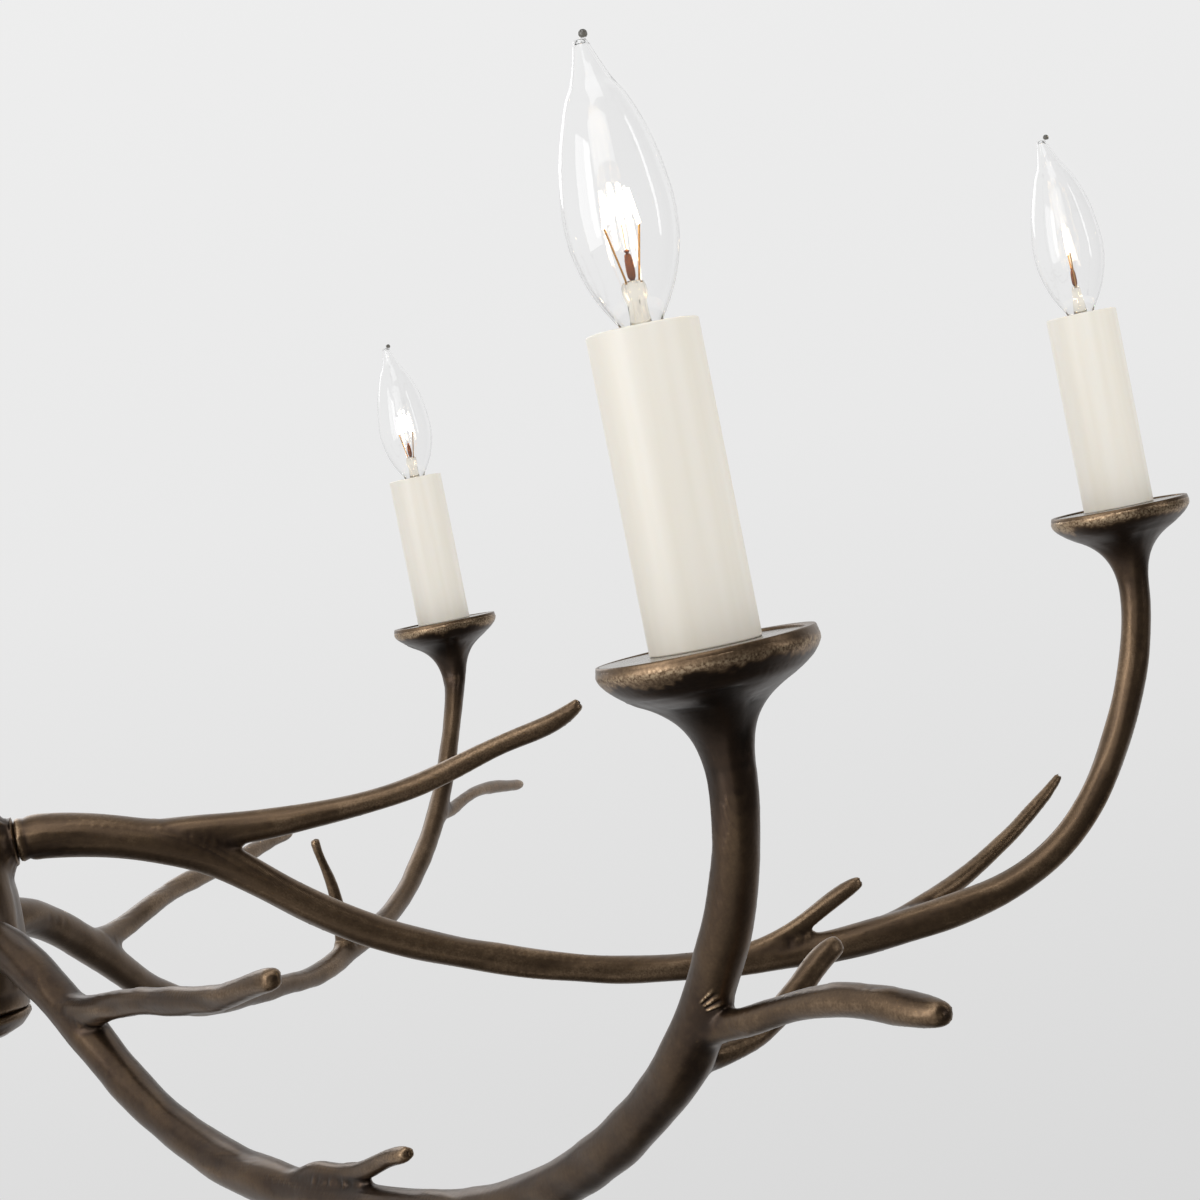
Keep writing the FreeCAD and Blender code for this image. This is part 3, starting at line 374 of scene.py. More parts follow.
# %% [markdown]
# A ridge runs along its branch. The branch's direction at a point is the one that no nearby normal points
# in, so it falls out of the normals around the point. Kinks are ironed out by averaging along the branch
# only, and bumps become ridges when they are smeared in that direction.

# %% Filling forks and drawing ridges
FORK_HOLLOW = 0.10 * MM     # a point this far below its neighbours lies in a sharp fork


def fill_forks(skin, rings=6, turns=45):
    """Rounds the hollows where branches meet, as molten metal does, and leaves the rest alone."""
    hollow = ((skin.mean(skin.points) - skin.points) * skin.normals).sum(axis=1)
    near = (hollow > FORK_HOLLOW).astype(float)
    for ring in range(rings):
        near = np.maximum(near, skin.mean(near))
    near = skin.spread(np.minimum(near * 1.6, 1.0), 2)[:, None]
    for turn in range(turns):
        step = skin.mean(skin.points) - skin.points
        outward = (step * skin.normals).sum(axis=1)[:, None]
        skin.points += near * step * np.where(outward > 0, 0.6, 0.12)
    skin.store()
    return near[:, 0]


def branch_directions(skin, turns=40):
    """The direction at each point that no normal around it points in."""
    products = (skin.normals[:, :, None] * skin.normals[:, None, :]).reshape(-1, 9)
    products = skin.spread(products, turns).reshape(-1, 3, 3)
    return np.linalg.eigh(products)[1][:, :, 0]


def spread_along(skin, values, along, times):
    """Averages values with neighbours that lie in the given directions, and hardly with the others."""
    first, second = skin.ends.T
    steps = skin.points[second] - skin.points[first]
    steps /= np.maximum(np.linalg.norm(steps, axis=1), 1e-9)[:, None]
    skin.weights = np.abs((steps * along[first]).sum(axis=1)) ** 4 + 0.01
    values = skin.spread(values, times)
    skin.weights = np.ones(len(skin.ends))
    return values


def iron_out(skin, along, worked, times=60):
    """Takes the kinks out of the branches, and leaves their lengths and their seats alone."""
    moves = spread_along(skin, skin.points, along, times) - skin.points
    outward = skin.spread((moves * skin.normals).sum(axis=1), 3)
    skin.points += skin.normals * (outward * worked)[:, None]
    skin.store()


def ridges(skin, seed, along, width, smear):
    """Bumps of one width that are drawn out along the given directions, with a spread of one."""
    drawn = spread_along(skin, ripples(skin.points, width, seed), along, smear)
    return (drawn - drawn.mean()) / max(drawn.std(), 1e-9)


def bulge_of(skin, turns=18):
    """How far each point stands out from the mean of its surroundings, with a spread of one."""
    stands_out = ((skin.points - skin.spread(skin.points, turns)) * skin.normals).sum(axis=1)
    stands_out -= np.median(stands_out)
    return stands_out / max(stands_out.std(), 1e-9)


# %% [markdown]
# The surface is worked less where it must fit: the face on the hub's seat and the rim of the cup keep the
# true shape. Each casting also stays within its engineering node's box.

# %% One casting from its node
RIDGE_WIDTH, LUMP_WIDTH, PULL_WIDTH = 8.0 * MM, 34 * MM, 3.2 * MM
RIDGE_DEPTH, LUMP_DEPTH, PULL_DEPTH = 0.20 * MM, 0.10 * MM, 0.2 * MM
BULGE_WEAR, EDGE_WEAR, RIDGE_WEAR, PULL_WEAR = 0.06, 0.04, 0.03, 0.05       # each for a spread of one


def smooth_step(values, start, end):
    """Rises smoothly from 0 at start to 1 at end."""
    share = np.clip((values - start) / (end - start), 0, 1)
    return share * share * (3 - 2 * share)


def casting(node, name, voxel, seed, cut=None, keep=None, wear_and_shade_of=None, finish=None, tone=0.34):
    """A hand-finished casting with its wear, made round an engineering node.

    Keep says how freely each point may be worked, the wear function says how much more it is rubbed, less
    any painted shade, finish does what is left to do by hand, and tone is how far the whole casting was rubbed
    back, raised on arms 1 and 2 as painted light.
    """
    piece = merged_copy(node, name)
    even_skin = piece.modifiers.new("Even skin", "REMESH")
    even_skin.mode = "VOXEL"
    even_skin.voxel_size = voxel
    bpy.ops.object.modifier_apply(modifier=even_skin.name)
    if cut:
        cut(piece)
    skin = Skin(piece.data)
    worked = keep(skin.points) if keep else np.ones(len(skin.points))
    fork = fill_forks(skin)
    iron_out(skin, branch_directions(skin), worked)
    bulge = bulge_of(skin)
    ridge = ridges(skin, seed, branch_directions(skin), RIDGE_WIDTH, 260)
    over_crease = np.cross(skin.normals, branch_directions(skin, 6))
    pulls = ridges(skin, seed + 3, over_crease, PULL_WIDTH, 24)
    lump = ripples(skin.points, LUMP_WIDTH, seed + 1)
    depth = RIDGE_DEPTH * np.clip(ridge, -2, 2) + LUMP_DEPTH * lump
    depth += PULL_DEPTH * np.clip(pulls, -1.5, 1.5) * fork ** 2
    skin.points += skin.normals * (depth * worked)[:, None]
    low, high = (np.array(corner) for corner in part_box(node))
    skin.points = np.clip(skin.points, low, high)
    skin.store()
    # The tone holds painted light on arms 1 and 2, and the wear function adds painted shade under each cup.
    rubbed_and_painted_light = tone + BULGE_WEAR * np.clip(bulge, -1.5, 2.6) + EDGE_WEAR * np.clip(bulge_of(skin, 6), -2, 2)
    rubbed_and_painted_light += RIDGE_WEAR * ridge * worked + PULL_WEAR * np.clip(pulls, -1.5, 1.5) * fork
    if wear_and_shade_of:
        rubbed_and_painted_light += wear_and_shade_of(skin.points)
    wear_and_painted_light = piece.data.attributes.new("rubbed_and_painted_light", "FLOAT", "POINT")
    wear_and_painted_light.data.foreach_set("value", np.clip(rubbed_and_painted_light, 0, 1).astype(np.float32))
    if finish:
        finish(piece)
    choose(piece)
    bpy.ops.object.shade_smooth()
    piece.data.materials.append(cast_bronze)
    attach(piece, "pendant")
    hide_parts(node)
    print(name, "faces:", len(piece.data.polygons), "webbed:", int((fork > 0.5).sum()))
    return piece


# %% [markdown]
# The cups' faces are turned flat on a lathe, which an even skin of squares would blur. So each arm is cut
# off flat just under its cup's rim, and a turned face is set on it.

# %% The arms
FACE_SEAT = 1.7             # how far below the rim the arm is cut for its turned face
CUP_ZONE, CUP_ZONE_DEPTH = 36 * MM, 20 * MM     # what lies nearer to the candle's foot is the cup


def cut_cup(number):
    """Returns the cut that takes the top off this arm's cup."""
    centre = arm_turn(number) @ (Vector((CUP_REACH, 0, CUP_LEVEL)) * MM)

    def cut(piece):
        skin = Skin(piece.data)
        beside = np.hypot(skin.points[:, 0] - centre.x, skin.points[:, 1] - centre.y)
        inside = (beside < CUP_ZONE) & (skin.points[:, 2] > centre.z - CUP_ZONE_DEPTH)
        piece.data.vertices.foreach_set("select", inside)
        bpy.ops.object.mode_set(mode="EDIT")
        bpy.ops.mesh.select_mode(type="VERT")
        bpy.ops.mesh.bisect(plane_co=centre - Vector((0, 0, FACE_SEAT * MM)), plane_no=(0, 0, 1),
                            use_fill=True, clear_outer=True)
        bpy.ops.mesh.select_all(action="DESELECT")
        bpy.ops.object.mode_set(mode="OBJECT")

    return cut


def arm_keep(number):
    """Returns how freely each point of this arm may be worked: not at all at its seat and its rim."""
    centre = np.array(arm_turn(number) @ (Vector((CUP_REACH, 0, CUP_LEVEL)) * MM))
    outward = np.array(arm_turn(number) @ Vector((1, 0, 0)))

    def keep(points):
        beside = np.hypot(points[:, 0] - centre[0], points[:, 1] - centre[1])
        drop = centre[2] - points[:, 2]
        in_cup = np.where(beside < CUP_ZONE, smooth_step(drop, 2.2 * MM, 14 * MM), 1.0)
        return in_cup * smooth_step(points @ outward, (SEAT_REACH + 1) * MM, (SEAT_REACH + 8) * MM)

    return keep


# %% [markdown]
# The founder rubs the band round the cup most. It stays sandy, and its lower edge is uneven. The flare under
# it is painted darker: painted shade under the cup.

# %% Wear and painted shade on the cups
BAND_DEPTH, BAND_WEAR, BAND_TOP_WEAR = 6.4, 0.24, 0.08      # mm below the rim, and shares
# The flare's first share is painted shade: it darkens the flare under each cup.
FLARE_PAINTED_SHADE, FLARE_FADES, FLARE_ENDS = 0.14, 34, 60        # a share, and mm below the rim


def cup_wear_and_painted_shade(number):
    """Returns how much more each point of this arm's cup is rubbed than the rest of the arm, less the painted
    shade on its flare.
    """
    centre = np.array(arm_turn(number) @ (Vector((CUP_REACH, 0, CUP_LEVEL)) * MM))

    def wear_and_painted_light(points):
        beside = np.hypot(points[:, 0] - centre[0], points[:, 1] - centre[1])
        drop = (centre[2] - points[:, 2]) / MM
        band_end = BAND_DEPTH + 0.9 * ripples(points, 16 * MM, number)
        band_end = band_end + 0.5 * ripples(points, 3.4 * MM, number + 40)
        below = smooth_step(drop, band_end - 0.7, band_end + 0.7)
        band = (BAND_TOP_WEAR + BAND_WEAR * smooth_step(drop, 1.5, 4.5)) * (1 - below)
        # Painted shade: the flare under the cup is darkened.
        flare_painted_shade = -FLARE_PAINTED_SHADE * below * (1 - smooth_step(drop, FLARE_FADES, FLARE_ENDS))
        return np.where((beside < 34 * MM) & (drop < FLARE_ENDS), band + flare_painted_shade, 0)

    return wear_and_painted_light


# %% [markdown]
# Where the stem of a low arm meets its side branch, the hot metal was pulled into a fan of fine creases. The
# skin is too coarse for them, so its faces there are subdivided first. The fan is measured on the side of
# the stem that it is on: how far across the stem, from the candle's axis, and how high.

# %% The fan of creases in a low arm's fork
FAN_ROOT = (-26.4, -770.9)          # where the creases would meet, in mm
FAN_TURN = math.radians(52.7)       # the way across the stem, turned from the arm's own direction
FAN_NEAR, FAN_FAR = 7.4, 13.6       # mm from the root
FAN_LOW, FAN_HIGH = 8.0, 44.0       # degrees above level
FAN_FIRST, FAN_PITCH = 14.5, 11.8   # degrees
FAN_DEPTH = 0.32 * MM
FAN_CREST_WEAR, FAN_GROUND_WEAR = 0.4, 0.14


def fan_of_creases(number, side):
    """Returns the finishing step that pulls the creases. Side is -1 on a mirrored casting."""
    home = np.array(arm_turn(number).inverted())[:3, :3]

    def places(points):
        local = points @ home.T / MM
        out, aside = local[:, 0] - CUP_REACH, local[:, 1] * side
        across = out * math.cos(FAN_TURN) + aside * math.sin(FAN_TURN) - FAN_ROOT[0]
        upward = local[:, 2] - FAN_ROOT[1]
        return np.hypot(across, upward), np.degrees(np.arctan2(upward, across)), aside < 1

    def finish(piece):
        choose(piece)
        far, heading, faces_out = places(vectors_of(piece.data.vertices, "co"))
        near = (far < FAN_FAR + 4) & (heading > FAN_LOW - 25) & (heading < FAN_HIGH + 25) & faces_out
        bpy.ops.object.mode_set(mode="EDIT")
        bpy.ops.mesh.select_mode(type="VERT")
        bpy.ops.mesh.select_all(action="DESELECT")
        bpy.ops.object.mode_set(mode="OBJECT")
        piece.data.vertices.foreach_set("select", near)
        bpy.ops.object.mode_set(mode="EDIT")
        bpy.ops.mesh.subdivide(number_cuts=2)
        bpy.ops.object.mode_set(mode="OBJECT")
        skin = Skin(piece.data)
        far, heading, faces_out = places(skin.points)
        inside = faces_out * smooth_step(far, FAN_NEAR - 0.8, FAN_NEAR + 0.8)
        inside = inside * (1 - smooth_step(far, FAN_FAR - 3.5, FAN_FAR))
        in_fan = smooth_step(heading, FAN_LOW, FAN_LOW + 5) * (1 - smooth_step(heading, FAN_HIGH - 5, FAN_HIGH))
        inside *= in_fan
        zone = skin.spread((faces_out & (far < FAN_FAR + 3)).astype(float), 6)[:, None]
        skin.points += zone * (skin.spread(skin.points, 14) - skin.points)
        skin.store()
        wave = np.cos(np.radians(360) * (heading - FAN_FIRST) / FAN_PITCH) * inside
        skin.points += skin.normals * (FAN_DEPTH * wave)[:, None]
        skin.store()
        rubbed_and_painted_light = np.empty(len(skin.points), dtype=np.float32)
        piece.data.attributes["rubbed_and_painted_light"].data.foreach_get("value", rubbed_and_painted_light)
        rubbed_and_painted_light = np.clip(rubbed_and_painted_light + FAN_CREST_WEAR * wave + FAN_GROUND_WEAR * inside, 0, 1).astype(np.float32)
        piece.data.attributes["rubbed_and_painted_light"].data.foreach_set("value", rubbed_and_painted_light)
        print("creased points:", int((inside > 0.5).sum()))

    return finish


# %% [markdown]
# Now the six castings are made. The one in the photograph's foreground has a finer skin, and no two are
# rubbed alike; arms 1 and 2, behind it, are also painted lighter overall, as painted light. Arms 4 and 6 are
# the low ones, with a fan of creases in the fork.

# %% All six arms
SHARP_ARM, FINE_SKIN, PLAIN_SKIN = 6, 0.95, 1.3     # the skins' squares, in mm
LOW_ARMS = {6: 1, 4: -1}                            # each with the side of the stem that its creases are on
# Arms 1 and 2 get higher tones as painted light, to look more lit; the others differ at random.
ARM_TONES_AND_PAINTED_LIGHT = {1: 0.45, 2: 0.43, 3: 0.36, 4: 0.38, 5: 0.42, 6: 0.33}
for number in ARMS:
    casting("antler_arm_%d" % number, "cast_arm_%d" % number,
            (FINE_SKIN if number == SHARP_ARM else PLAIN_SKIN) * MM, 10 * number,
            cut_cup(number), arm_keep(number), cup_wear_and_painted_shade(number),
            fan_of_creases(number, LOW_ARMS[number]) if number in LOW_ARMS else None, ARM_TONES_AND_PAINTED_LIGHT[number])

# %% [markdown]
# A turner's helper: a ring is extruded to the next height and resized, again and again, as by hand. A ring
# of radius zero closes a piece, and a last ring that meets the first one closes a hoop.

# %% Turned pieces


def turned_piece(name, rings, segments=96, leans=None):
    """A piece turned about the Z axis through (radius, height) rings in mm, leaning by (x, y) per ring."""
    deselect()
    radius, height = rings[0]
    bpy.ops.mesh.primitive_circle_add(vertices=segments, radius=radius * MM, fill_type="NOTHING",
                                      location=(0, 0, height * MM))
    piece = bpy.context.object
    piece.name = name
    bpy.ops.object.transform_apply(location=True, rotation=False, scale=False)
    bpy.ops.object.mode_set(mode="EDIT")
    bpy.ops.mesh.select_all(action="SELECT")
    for place, (next_radius, next_height) in enumerate(rings[1:], 1):
        lean = [leans[place][axis] - leans[place - 1][axis] for axis in (0, 1)] if leans else (0, 0)
        step = (lean[0] * MM, lean[1] * MM, (next_height - height) * MM)
        bpy.ops.mesh.extrude_edges_move(TRANSFORM_OT_translate={"value": step})
        bpy.ops.transform.resize(value=(next_radius / radius, next_radius / radius, 1))
        radius, height = next_radius or radius, next_height
    bpy.ops.mesh.select_all(action="SELECT")
    bpy.ops.mesh.remove_doubles(threshold=0.001 * MM)
    bpy.ops.mesh.normals_make_consistent(inside=False)
    bpy.ops.object.mode_set(mode="OBJECT")
    bpy.ops.object.shade_smooth_by_angle(angle=math.radians(35))
    return piece


def for_each_arm(original, name, material, body, node):
    """Copies a piece that was made on the axis of candle 1's place, one copy for each arm."""
    placed = []
    for number in ARMS:
        mesh = original.data.copy()
        mesh.transform(arm_turn(number) @ Matrix.Translation((CUP_REACH * MM, 0, 0)))
        piece = bpy.data.objects.new("%s_%d" % (name, number), mesh)
        bpy.context.collection.objects.link(piece)
        mesh.materials.clear()
        mesh.materials.append(material)
        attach(piece, body % number if "%" in body else body)
        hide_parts(node % number)
        placed.append(piece)
    bpy.data.objects.remove(original)
    print(name, "copies:", len(placed), "faces each:", len(placed[0].data.polygons))
    return placed


# %% [markdown]
# The face was faced off by hand and isn't quite square to the cup, so the lip round it is flush on one side
# and stands 0.8 mm high, and broader, on the other. The bright face is a disc, and the lip, in the colour
# of the band below it, is a hoop whose points are moved by where they stand.

# %% The cups' faces and lips
FACE_RADIUS, LIP_TURN, LIP_BROADENS = 30.0, math.radians(81), 3.0
LIP_BORE, LIP_WEAR = FACE_RADIUS + 0.15, 0.46
face_rings = [(5.3, CUP_FLOOR), (FACE_RADIUS, CUP_FLOOR), (FACE_RADIUS, CUP_FLOOR - 0.9),
              (5.3, CUP_FLOOR - 0.9), (5.3, CUP_FLOOR)]
for_each_arm(turned_piece("face", face_rings, 128), "cup_face", cup_bronze, "pendant", "antler_arm_%d")
lip_rings = [(LIP_BORE, CUP_FLOOR - 0.9), (LIP_BORE, CUP_FLOOR), (30.2, CUP_LEVEL - 0.25),
             (30.35, CUP_LEVEL - 0.05), (30.5, CUP_LEVEL), (30.7, CUP_LEVEL - 0.2), (30.86, CUP_LEVEL - 0.7),
             (30.98, CUP_LEVEL - 1.3), (31.1, CUP_LEVEL - FACE_SEAT), (31.12, CUP_LEVEL - 2.1),
             (30.6, CUP_LEVEL - 2.6), (LIP_BORE, CUP_LEVEL - 2.6), (LIP_BORE, CUP_FLOOR - 0.9)]
lip = turned_piece("lip", lip_rings, 128)
for vertex in lip.data.vertices:
    high = 0.5 + 0.5 * math.cos(math.atan2(vertex.co.y, vertex.co.x) - LIP_TURN)
    above = vertex.co.z - CUP_FLOOR * MM
    if above > 0:
        vertex.co.z -= above * (1 - high)
    if vertex.co.xy.length < 30.4 * MM:
        vertex.co.xy *= 1 - LIP_BROADENS * high ** 2 / FACE_RADIUS
rubbed_and_painted_light = lip.data.attributes.new("rubbed_and_painted_light", "FLOAT", "POINT")
for share in rubbed_and_painted_light.data:
    share.value = LIP_WEAR
for_each_arm(lip, "cup_lip", cast_bronze, "pendant", "antler_arm_%d")

# %% [markdown]
# ## The candle sleeve
# The sleeve is a moulded ivory plastic tube with a fine broken edge at its mouth and its foot. A cylinder's
# end faces are inset by the wall and bridged, which opens the bore, and both outer edges are bevelled. The
# bevel at the foot leaves the fine dark line between sleeve and cup.

# %% The sleeves
SLEEVE_RADIUS, SLEEVE_BORE, SLEEVE_BEVEL = 15.75, 22.0, 0.6
ivory, tree, shader = new_material("Ivory candle sleeve, satin polypropylene", Base_Color=linear("#F0EADE"),
                                   Roughness=0.45, IOR=1.49)
shader.inputs["Subsurface Weight"].default_value = 0.12
shader.inputs["Subsurface Radius"].default_value = (2.0 * MM, 1.4 * MM, 0.9 * MM)
spot = add_node(tree, "TexCoord").outputs["Object"]
# Painted sheen: faint lighter and darker vertical streaks in the ivory colour.
drawn_out = add_node(tree, "Mapping", {"Vector": spot, "Scale": (1.0, 1.0, 0.04)}).outputs[0]
painted_sheen_streaks = add_node(tree, "TexNoise", {"Vector": drawn_out, "Scale": 1 / (6 * MM), "Detail": 2.0}).outputs[0]
tone = shade_steps(tree, painted_sheen_streaks, [(0.3, "#EEE8DB"), (0.7, "#F4EFE5")])
tree.links.new(tone, shader.inputs["Base Color"])
skin_grain = add_node(tree, "TexNoise", {"Vector": spot, "Scale": 1 / (0.7 * MM), "Detail": 1.0}).outputs[0]
relief = add_node(tree, "Bump", {"Strength": 0.2, "Distance": 0.02 * MM, "Height": skin_grain})
tree.links.new(relief.outputs[0], shader.inputs["Normal"])

deselect()
bpy.ops.mesh.primitive_cylinder_add(vertices=128, radius=SLEEVE_RADIUS * MM,
                                    depth=(SLEEVE_TOP - CUP_FLOOR) * MM,
                                    location=(0, 0, (SLEEVE_TOP + CUP_FLOOR) / 2 * MM))
sleeve = bpy.context.object
bpy.ops.object.transform_apply(location=True, rotation=False, scale=False)
bpy.ops.object.mode_set(mode="EDIT")
bpy.ops.mesh.select_mode(type="FACE")
bpy.ops.mesh.select_all(action="DESELECT")
bpy.ops.object.mode_set(mode="OBJECT")
for face in sleeve.data.polygons:
    face.select = abs(face.normal.z) > 0.9
bpy.ops.object.mode_set(mode="EDIT")
bpy.ops.mesh.inset(thickness=(SLEEVE_RADIUS - SLEEVE_BORE / 2) * MM)
bpy.ops.mesh.bridge_edge_loops()
bpy.ops.mesh.select_mode(type="EDGE")
bpy.ops.mesh.select_all(action="DESELECT")
bpy.ops.object.mode_set(mode="OBJECT")
for edge in sleeve.data.edges:
    corners = [sleeve.data.vertices[place].co for place in edge.vertices]
    at_end = abs(corners[0].z - corners[1].z) < 1e-6
    edge.select = at_end and all(corner.xy.length > (SLEEVE_RADIUS - 0.1) * MM for corner in corners)
bpy.ops.object.mode_set(mode="EDIT")
bpy.ops.mesh.bevel(offset=SLEEVE_BEVEL * MM, segments=4, affect="EDGES")
bpy.ops.mesh.select_all(action="SELECT")
bpy.ops.mesh.normals_make_consistent(inside=False)
bpy.ops.object.mode_set(mode="OBJECT")
bpy.ops.object.shade_smooth_by_angle(angle=math.radians(40))
for_each_arm(sleeve, "ivory_sleeve", ivory, "sleeve_%d", "candle_sleeve_%d")

# %% [markdown]
# ## The flame bulb
# The envelope is clear blown glass, 0.7 mm thick, drawn out to a bent tip with a bead of solid glass, where
# it was sealed in a sooty flame. Its outline is given by heights above the sleeve and widths, with a smooth
# curve between them. It is made as two shells, one inside the other, that are bridged at the foot.

# %% The bulb's outline
GLASS_WALL = 0.7
BEND_START, TIP_BEND, BEND_HEADING = 50.0, 3.0, math.radians(168)
FLAME = [(-4.5, 11.0), (0, 11.8), (3.5, 15.4), (7.5, 20.0), (11.5, 23.8), (16, 27.0), (21, 29.6), (26, 31.0),
         (31, 31.4), (36, 30.8), (42, 29.2), (48, 27.0), (56, 22.6), (63.5, 17.0), (68, 12.0), (72, 8.8),
         (76, 6.2), (79, 4.4), (81.2, 2.6)]


def smooth_outline(stations, steps=5):
    """Points on a smooth curve through the stations (Catmull-Rom), a few between each pair."""
    ends = [stations[0]] + list(stations) + [stations[-1]]
    curve = []
    for before, start, end, after in zip(ends, ends[1:], ends[2:], ends[3:]):
        for step in range(steps):
            t = step / steps
            curve.append(tuple(0.5 * (2 * b + (c - a) * t + (2 * a - 5 * b + 4 * c - d) * t * t
                                      + (3 * b - a - 3 * c + d) * t ** 3)
                               for a, b, c, d in zip(before, start, end, after)))
    return curve + [tuple(stations[-1])]


def lean_at(height):
    """How far the flame's axis is bent aside at a height, in x and y."""
    share = max(0.0, height - BEND_START) / (FLAME[-1][0] - BEND_START)
    return (TIP_BEND * share ** 2 * math.cos(BEND_HEADING), TIP_BEND * share ** 2 * math.sin(BEND_HEADING))


def blown_shell(name, rings):
    """A shell through (radius, height above the sleeve) rings that leans like the flame's tip."""
    places = [(radius, SLEEVE_TOP + height) for radius, height in rings]
    return turned_piece(name, places, 72, [lean_at(min(height, FLAME[-1][0])) for radius, height in rings])


def close_open_end(piece):
    """Fills the one open ring of a piece that was turned from a ring at its foot."""
    choose(piece)
    bpy.ops.object.mode_set(mode="EDIT")
    bpy.ops.mesh.select_mode(type="EDGE")
    bpy.ops.mesh.select_all(action="DESELECT")
    bpy.ops.mesh.select_non_manifold()
    bpy.ops.mesh.edge_face_add()
    bpy.ops.mesh.select_all(action="SELECT")
    bpy.ops.mesh.normals_make_consistent(inside=False)
    bpy.ops.object.mode_set(mode="OBJECT")


# %% The glass envelope
outline = smooth_outline(FLAME)
tip_level, tip_radius = FLAME[-1][0], FLAME[-1][1] / 2
outer_rings = [(width / 2, level) for level, width in outline if level < tip_level - 1]
outer_rings += [(0.6, tip_level - 0.9), (0, tip_level - 0.8)]
bead_rings = [(tip_radius * math.cos(angle), tip_level + tip_radius * math.sin(angle))
              for angle in (-0.9, -0.45, 0.0, 0.45, 0.8, 1.2)] + [(0, tip_level + tip_radius)]
inner_rings = [(4.8, -3.8)] + [(width / 2 - GLASS_WALL, level) for level, width in outline
                               if -3.0 < level < 78.5]
inner_rings += [(1.1, 79.1), (0.6, 79.7), (0, 79.9)]
envelope = blown_shell("envelope", outer_rings)
hollow = blown_shell("hollow", inner_rings)
deselect()
hollow.select_set(True)
envelope.select_set(True)
bpy.context.view_layer.objects.active = envelope
bpy.ops.object.join()
bpy.ops.object.mode_set(mode="EDIT")
bpy.ops.mesh.select_mode(type="EDGE")
bpy.ops.mesh.select_all(action="DESELECT")
bpy.ops.mesh.select_non_manifold()
bpy.ops.mesh.bridge_edge_loops()
bpy.ops.mesh.select_all(action="SELECT")
bpy.ops.mesh.normals_make_consistent(inside=False)
bpy.ops.object.mode_set(mode="OBJECT")
bpy.ops.object.shade_smooth_by_angle(angle=math.radians(60))

clear_glass, tree, shader = new_material("Clear blown glass", Base_Color=(1, 1, 1, 1), Roughness=0.0,
                                         IOR=1.5)
shader.inputs["Transmission Weight"].default_value = 1.0
spot = add_node(tree, "TexCoord").outputs["Object"]
waver = add_node(tree, "TexNoise", {"Vector": spot, "Scale": 1 / (14 * MM), "Detail": 1.0}).outputs[0]
blown = add_node(tree, "Bump", {"Strength": 0.25, "Distance": 0.1 * MM, "Height": waver})
tree.links.new(blown.outputs[0], shader.inputs["Normal"])
for_each_arm(envelope, "flame_envelope", clear_glass, "bulb_%d", "bulb_glass_%d")

sooty_glass, tree, shader = new_material("Sealed glass bead", Base_Color=linear("#6E6B64"), Roughness=0.02,
                                         IOR=1.5)
shader.inputs["Transmission Weight"].default_value = 1.0
bead = blown_shell("bead", bead_rings)
close_open_end(bead)
for_each_arm(bead, "glass_bead", sooty_glass, "bulb_%d", "bulb_glass_%d")

# %% [markdown]
# Inside, a glass tube rises from the foot and is pinched flat round the wires. It is lead glass, which
# gives it a faint amber edge.

# %% The glass stem
STEM_HEADING = BEND_HEADING - math.pi / 2       # the pinch and the wires stand square to the bend
stem_rings = [(4.2, -3.6), (3.5, -2.0), (3.1, 0), (2.8, 3.4), (2.75, 5.8), (3.0, 7.2), (3.6, 8.4), (3.8, 9.6),
              (3.7, 11.2), (3.3, 12.4), (2.4, 12.9), (0, 12.95)]
stem = turned_piece("stem", [(radius, SLEEVE_TOP + level) for radius, level in stem_rings], 48)
close_open_end(stem)
for vertex in stem.data.vertices:
    pinch = smooth_step(vertex.co.z, (SLEEVE_TOP + 5) * MM, (SLEEVE_TOP + 9) * MM)
    vertex.co.y *= 1 - 0.45 * float(pinch)
stem.data.transform(Matrix.Rotation(STEM_HEADING, 4, "Z"))
lead_glass, tree, shader = new_material("Lead glass stem", Base_Color=linear("#FFF9EC"), Roughness=0.02,
                                        IOR=1.56)
shader.inputs["Transmission Weight"].default_value = 1.0
for_each_arm(stem, "glass_stem", lead_glass, "bulb_%d", "bulb_glass_%d")

# %% [markdown]
# Two lead wires stand in the pinch and spread to the ends of the filament, a coil of tungsten wire that
# zigzags over a thin hook in the middle. The hook stands in a small copper-coloured arbor. The coil glows.

# %% Wires and filament


def drawn_wire(name, points, radius, rounds=1):
    """A wire through points in mm above the sleeve, as a bevelled curve that is made a mesh."""
    curve = bpy.data.curves.new(name, "CURVE")
    curve.dimensions = "3D"
    curve.bevel_depth = radius * MM
    curve.bevel_resolution = rounds
    curve.use_fill_caps = True
    line = curve.splines.new("POLY")
    line.points.add(len(points) - 1)
    for point, (x, y, z) in zip(line.points, points):
        point.co = (x * MM, y * MM, (SLEEVE_TOP + z) * MM, 1)
    piece = bpy.data.objects.new(name, curve)
    bpy.context.collection.objects.link(piece)
    choose(piece)
    bpy.ops.object.convert(target="MESH")
    piece = bpy.context.object
    piece.data.transform(Matrix.Rotation(STEM_HEADING, 4, "Z"))
    bpy.ops.object.shade_smooth_by_angle(angle=math.radians(60))
    return piece


def coiled(corners, radius, pitch, per_turn=9):
    """Points of a coil wound round a bent line in the XZ plane."""
    route = [Vector(corner) for corner in corners]
    points = []
    turned = 0.0
    for start, end in zip(route, route[1:]):
        way = end - start
        side = Vector((0, 1, 0))
        over = way.normalized().cross(side)
        count = max(2, int(way.length / pitch * per_turn))
        for step in range(count):
            angle = turned + 2 * math.pi * step / per_turn
            points.append(start + way * (step / count) + (side * math.sin(angle) + over * math.cos(angle))
                          * radius)
        turned += 2 * math.pi * count / per_turn
    return [tuple(point) for point in points]


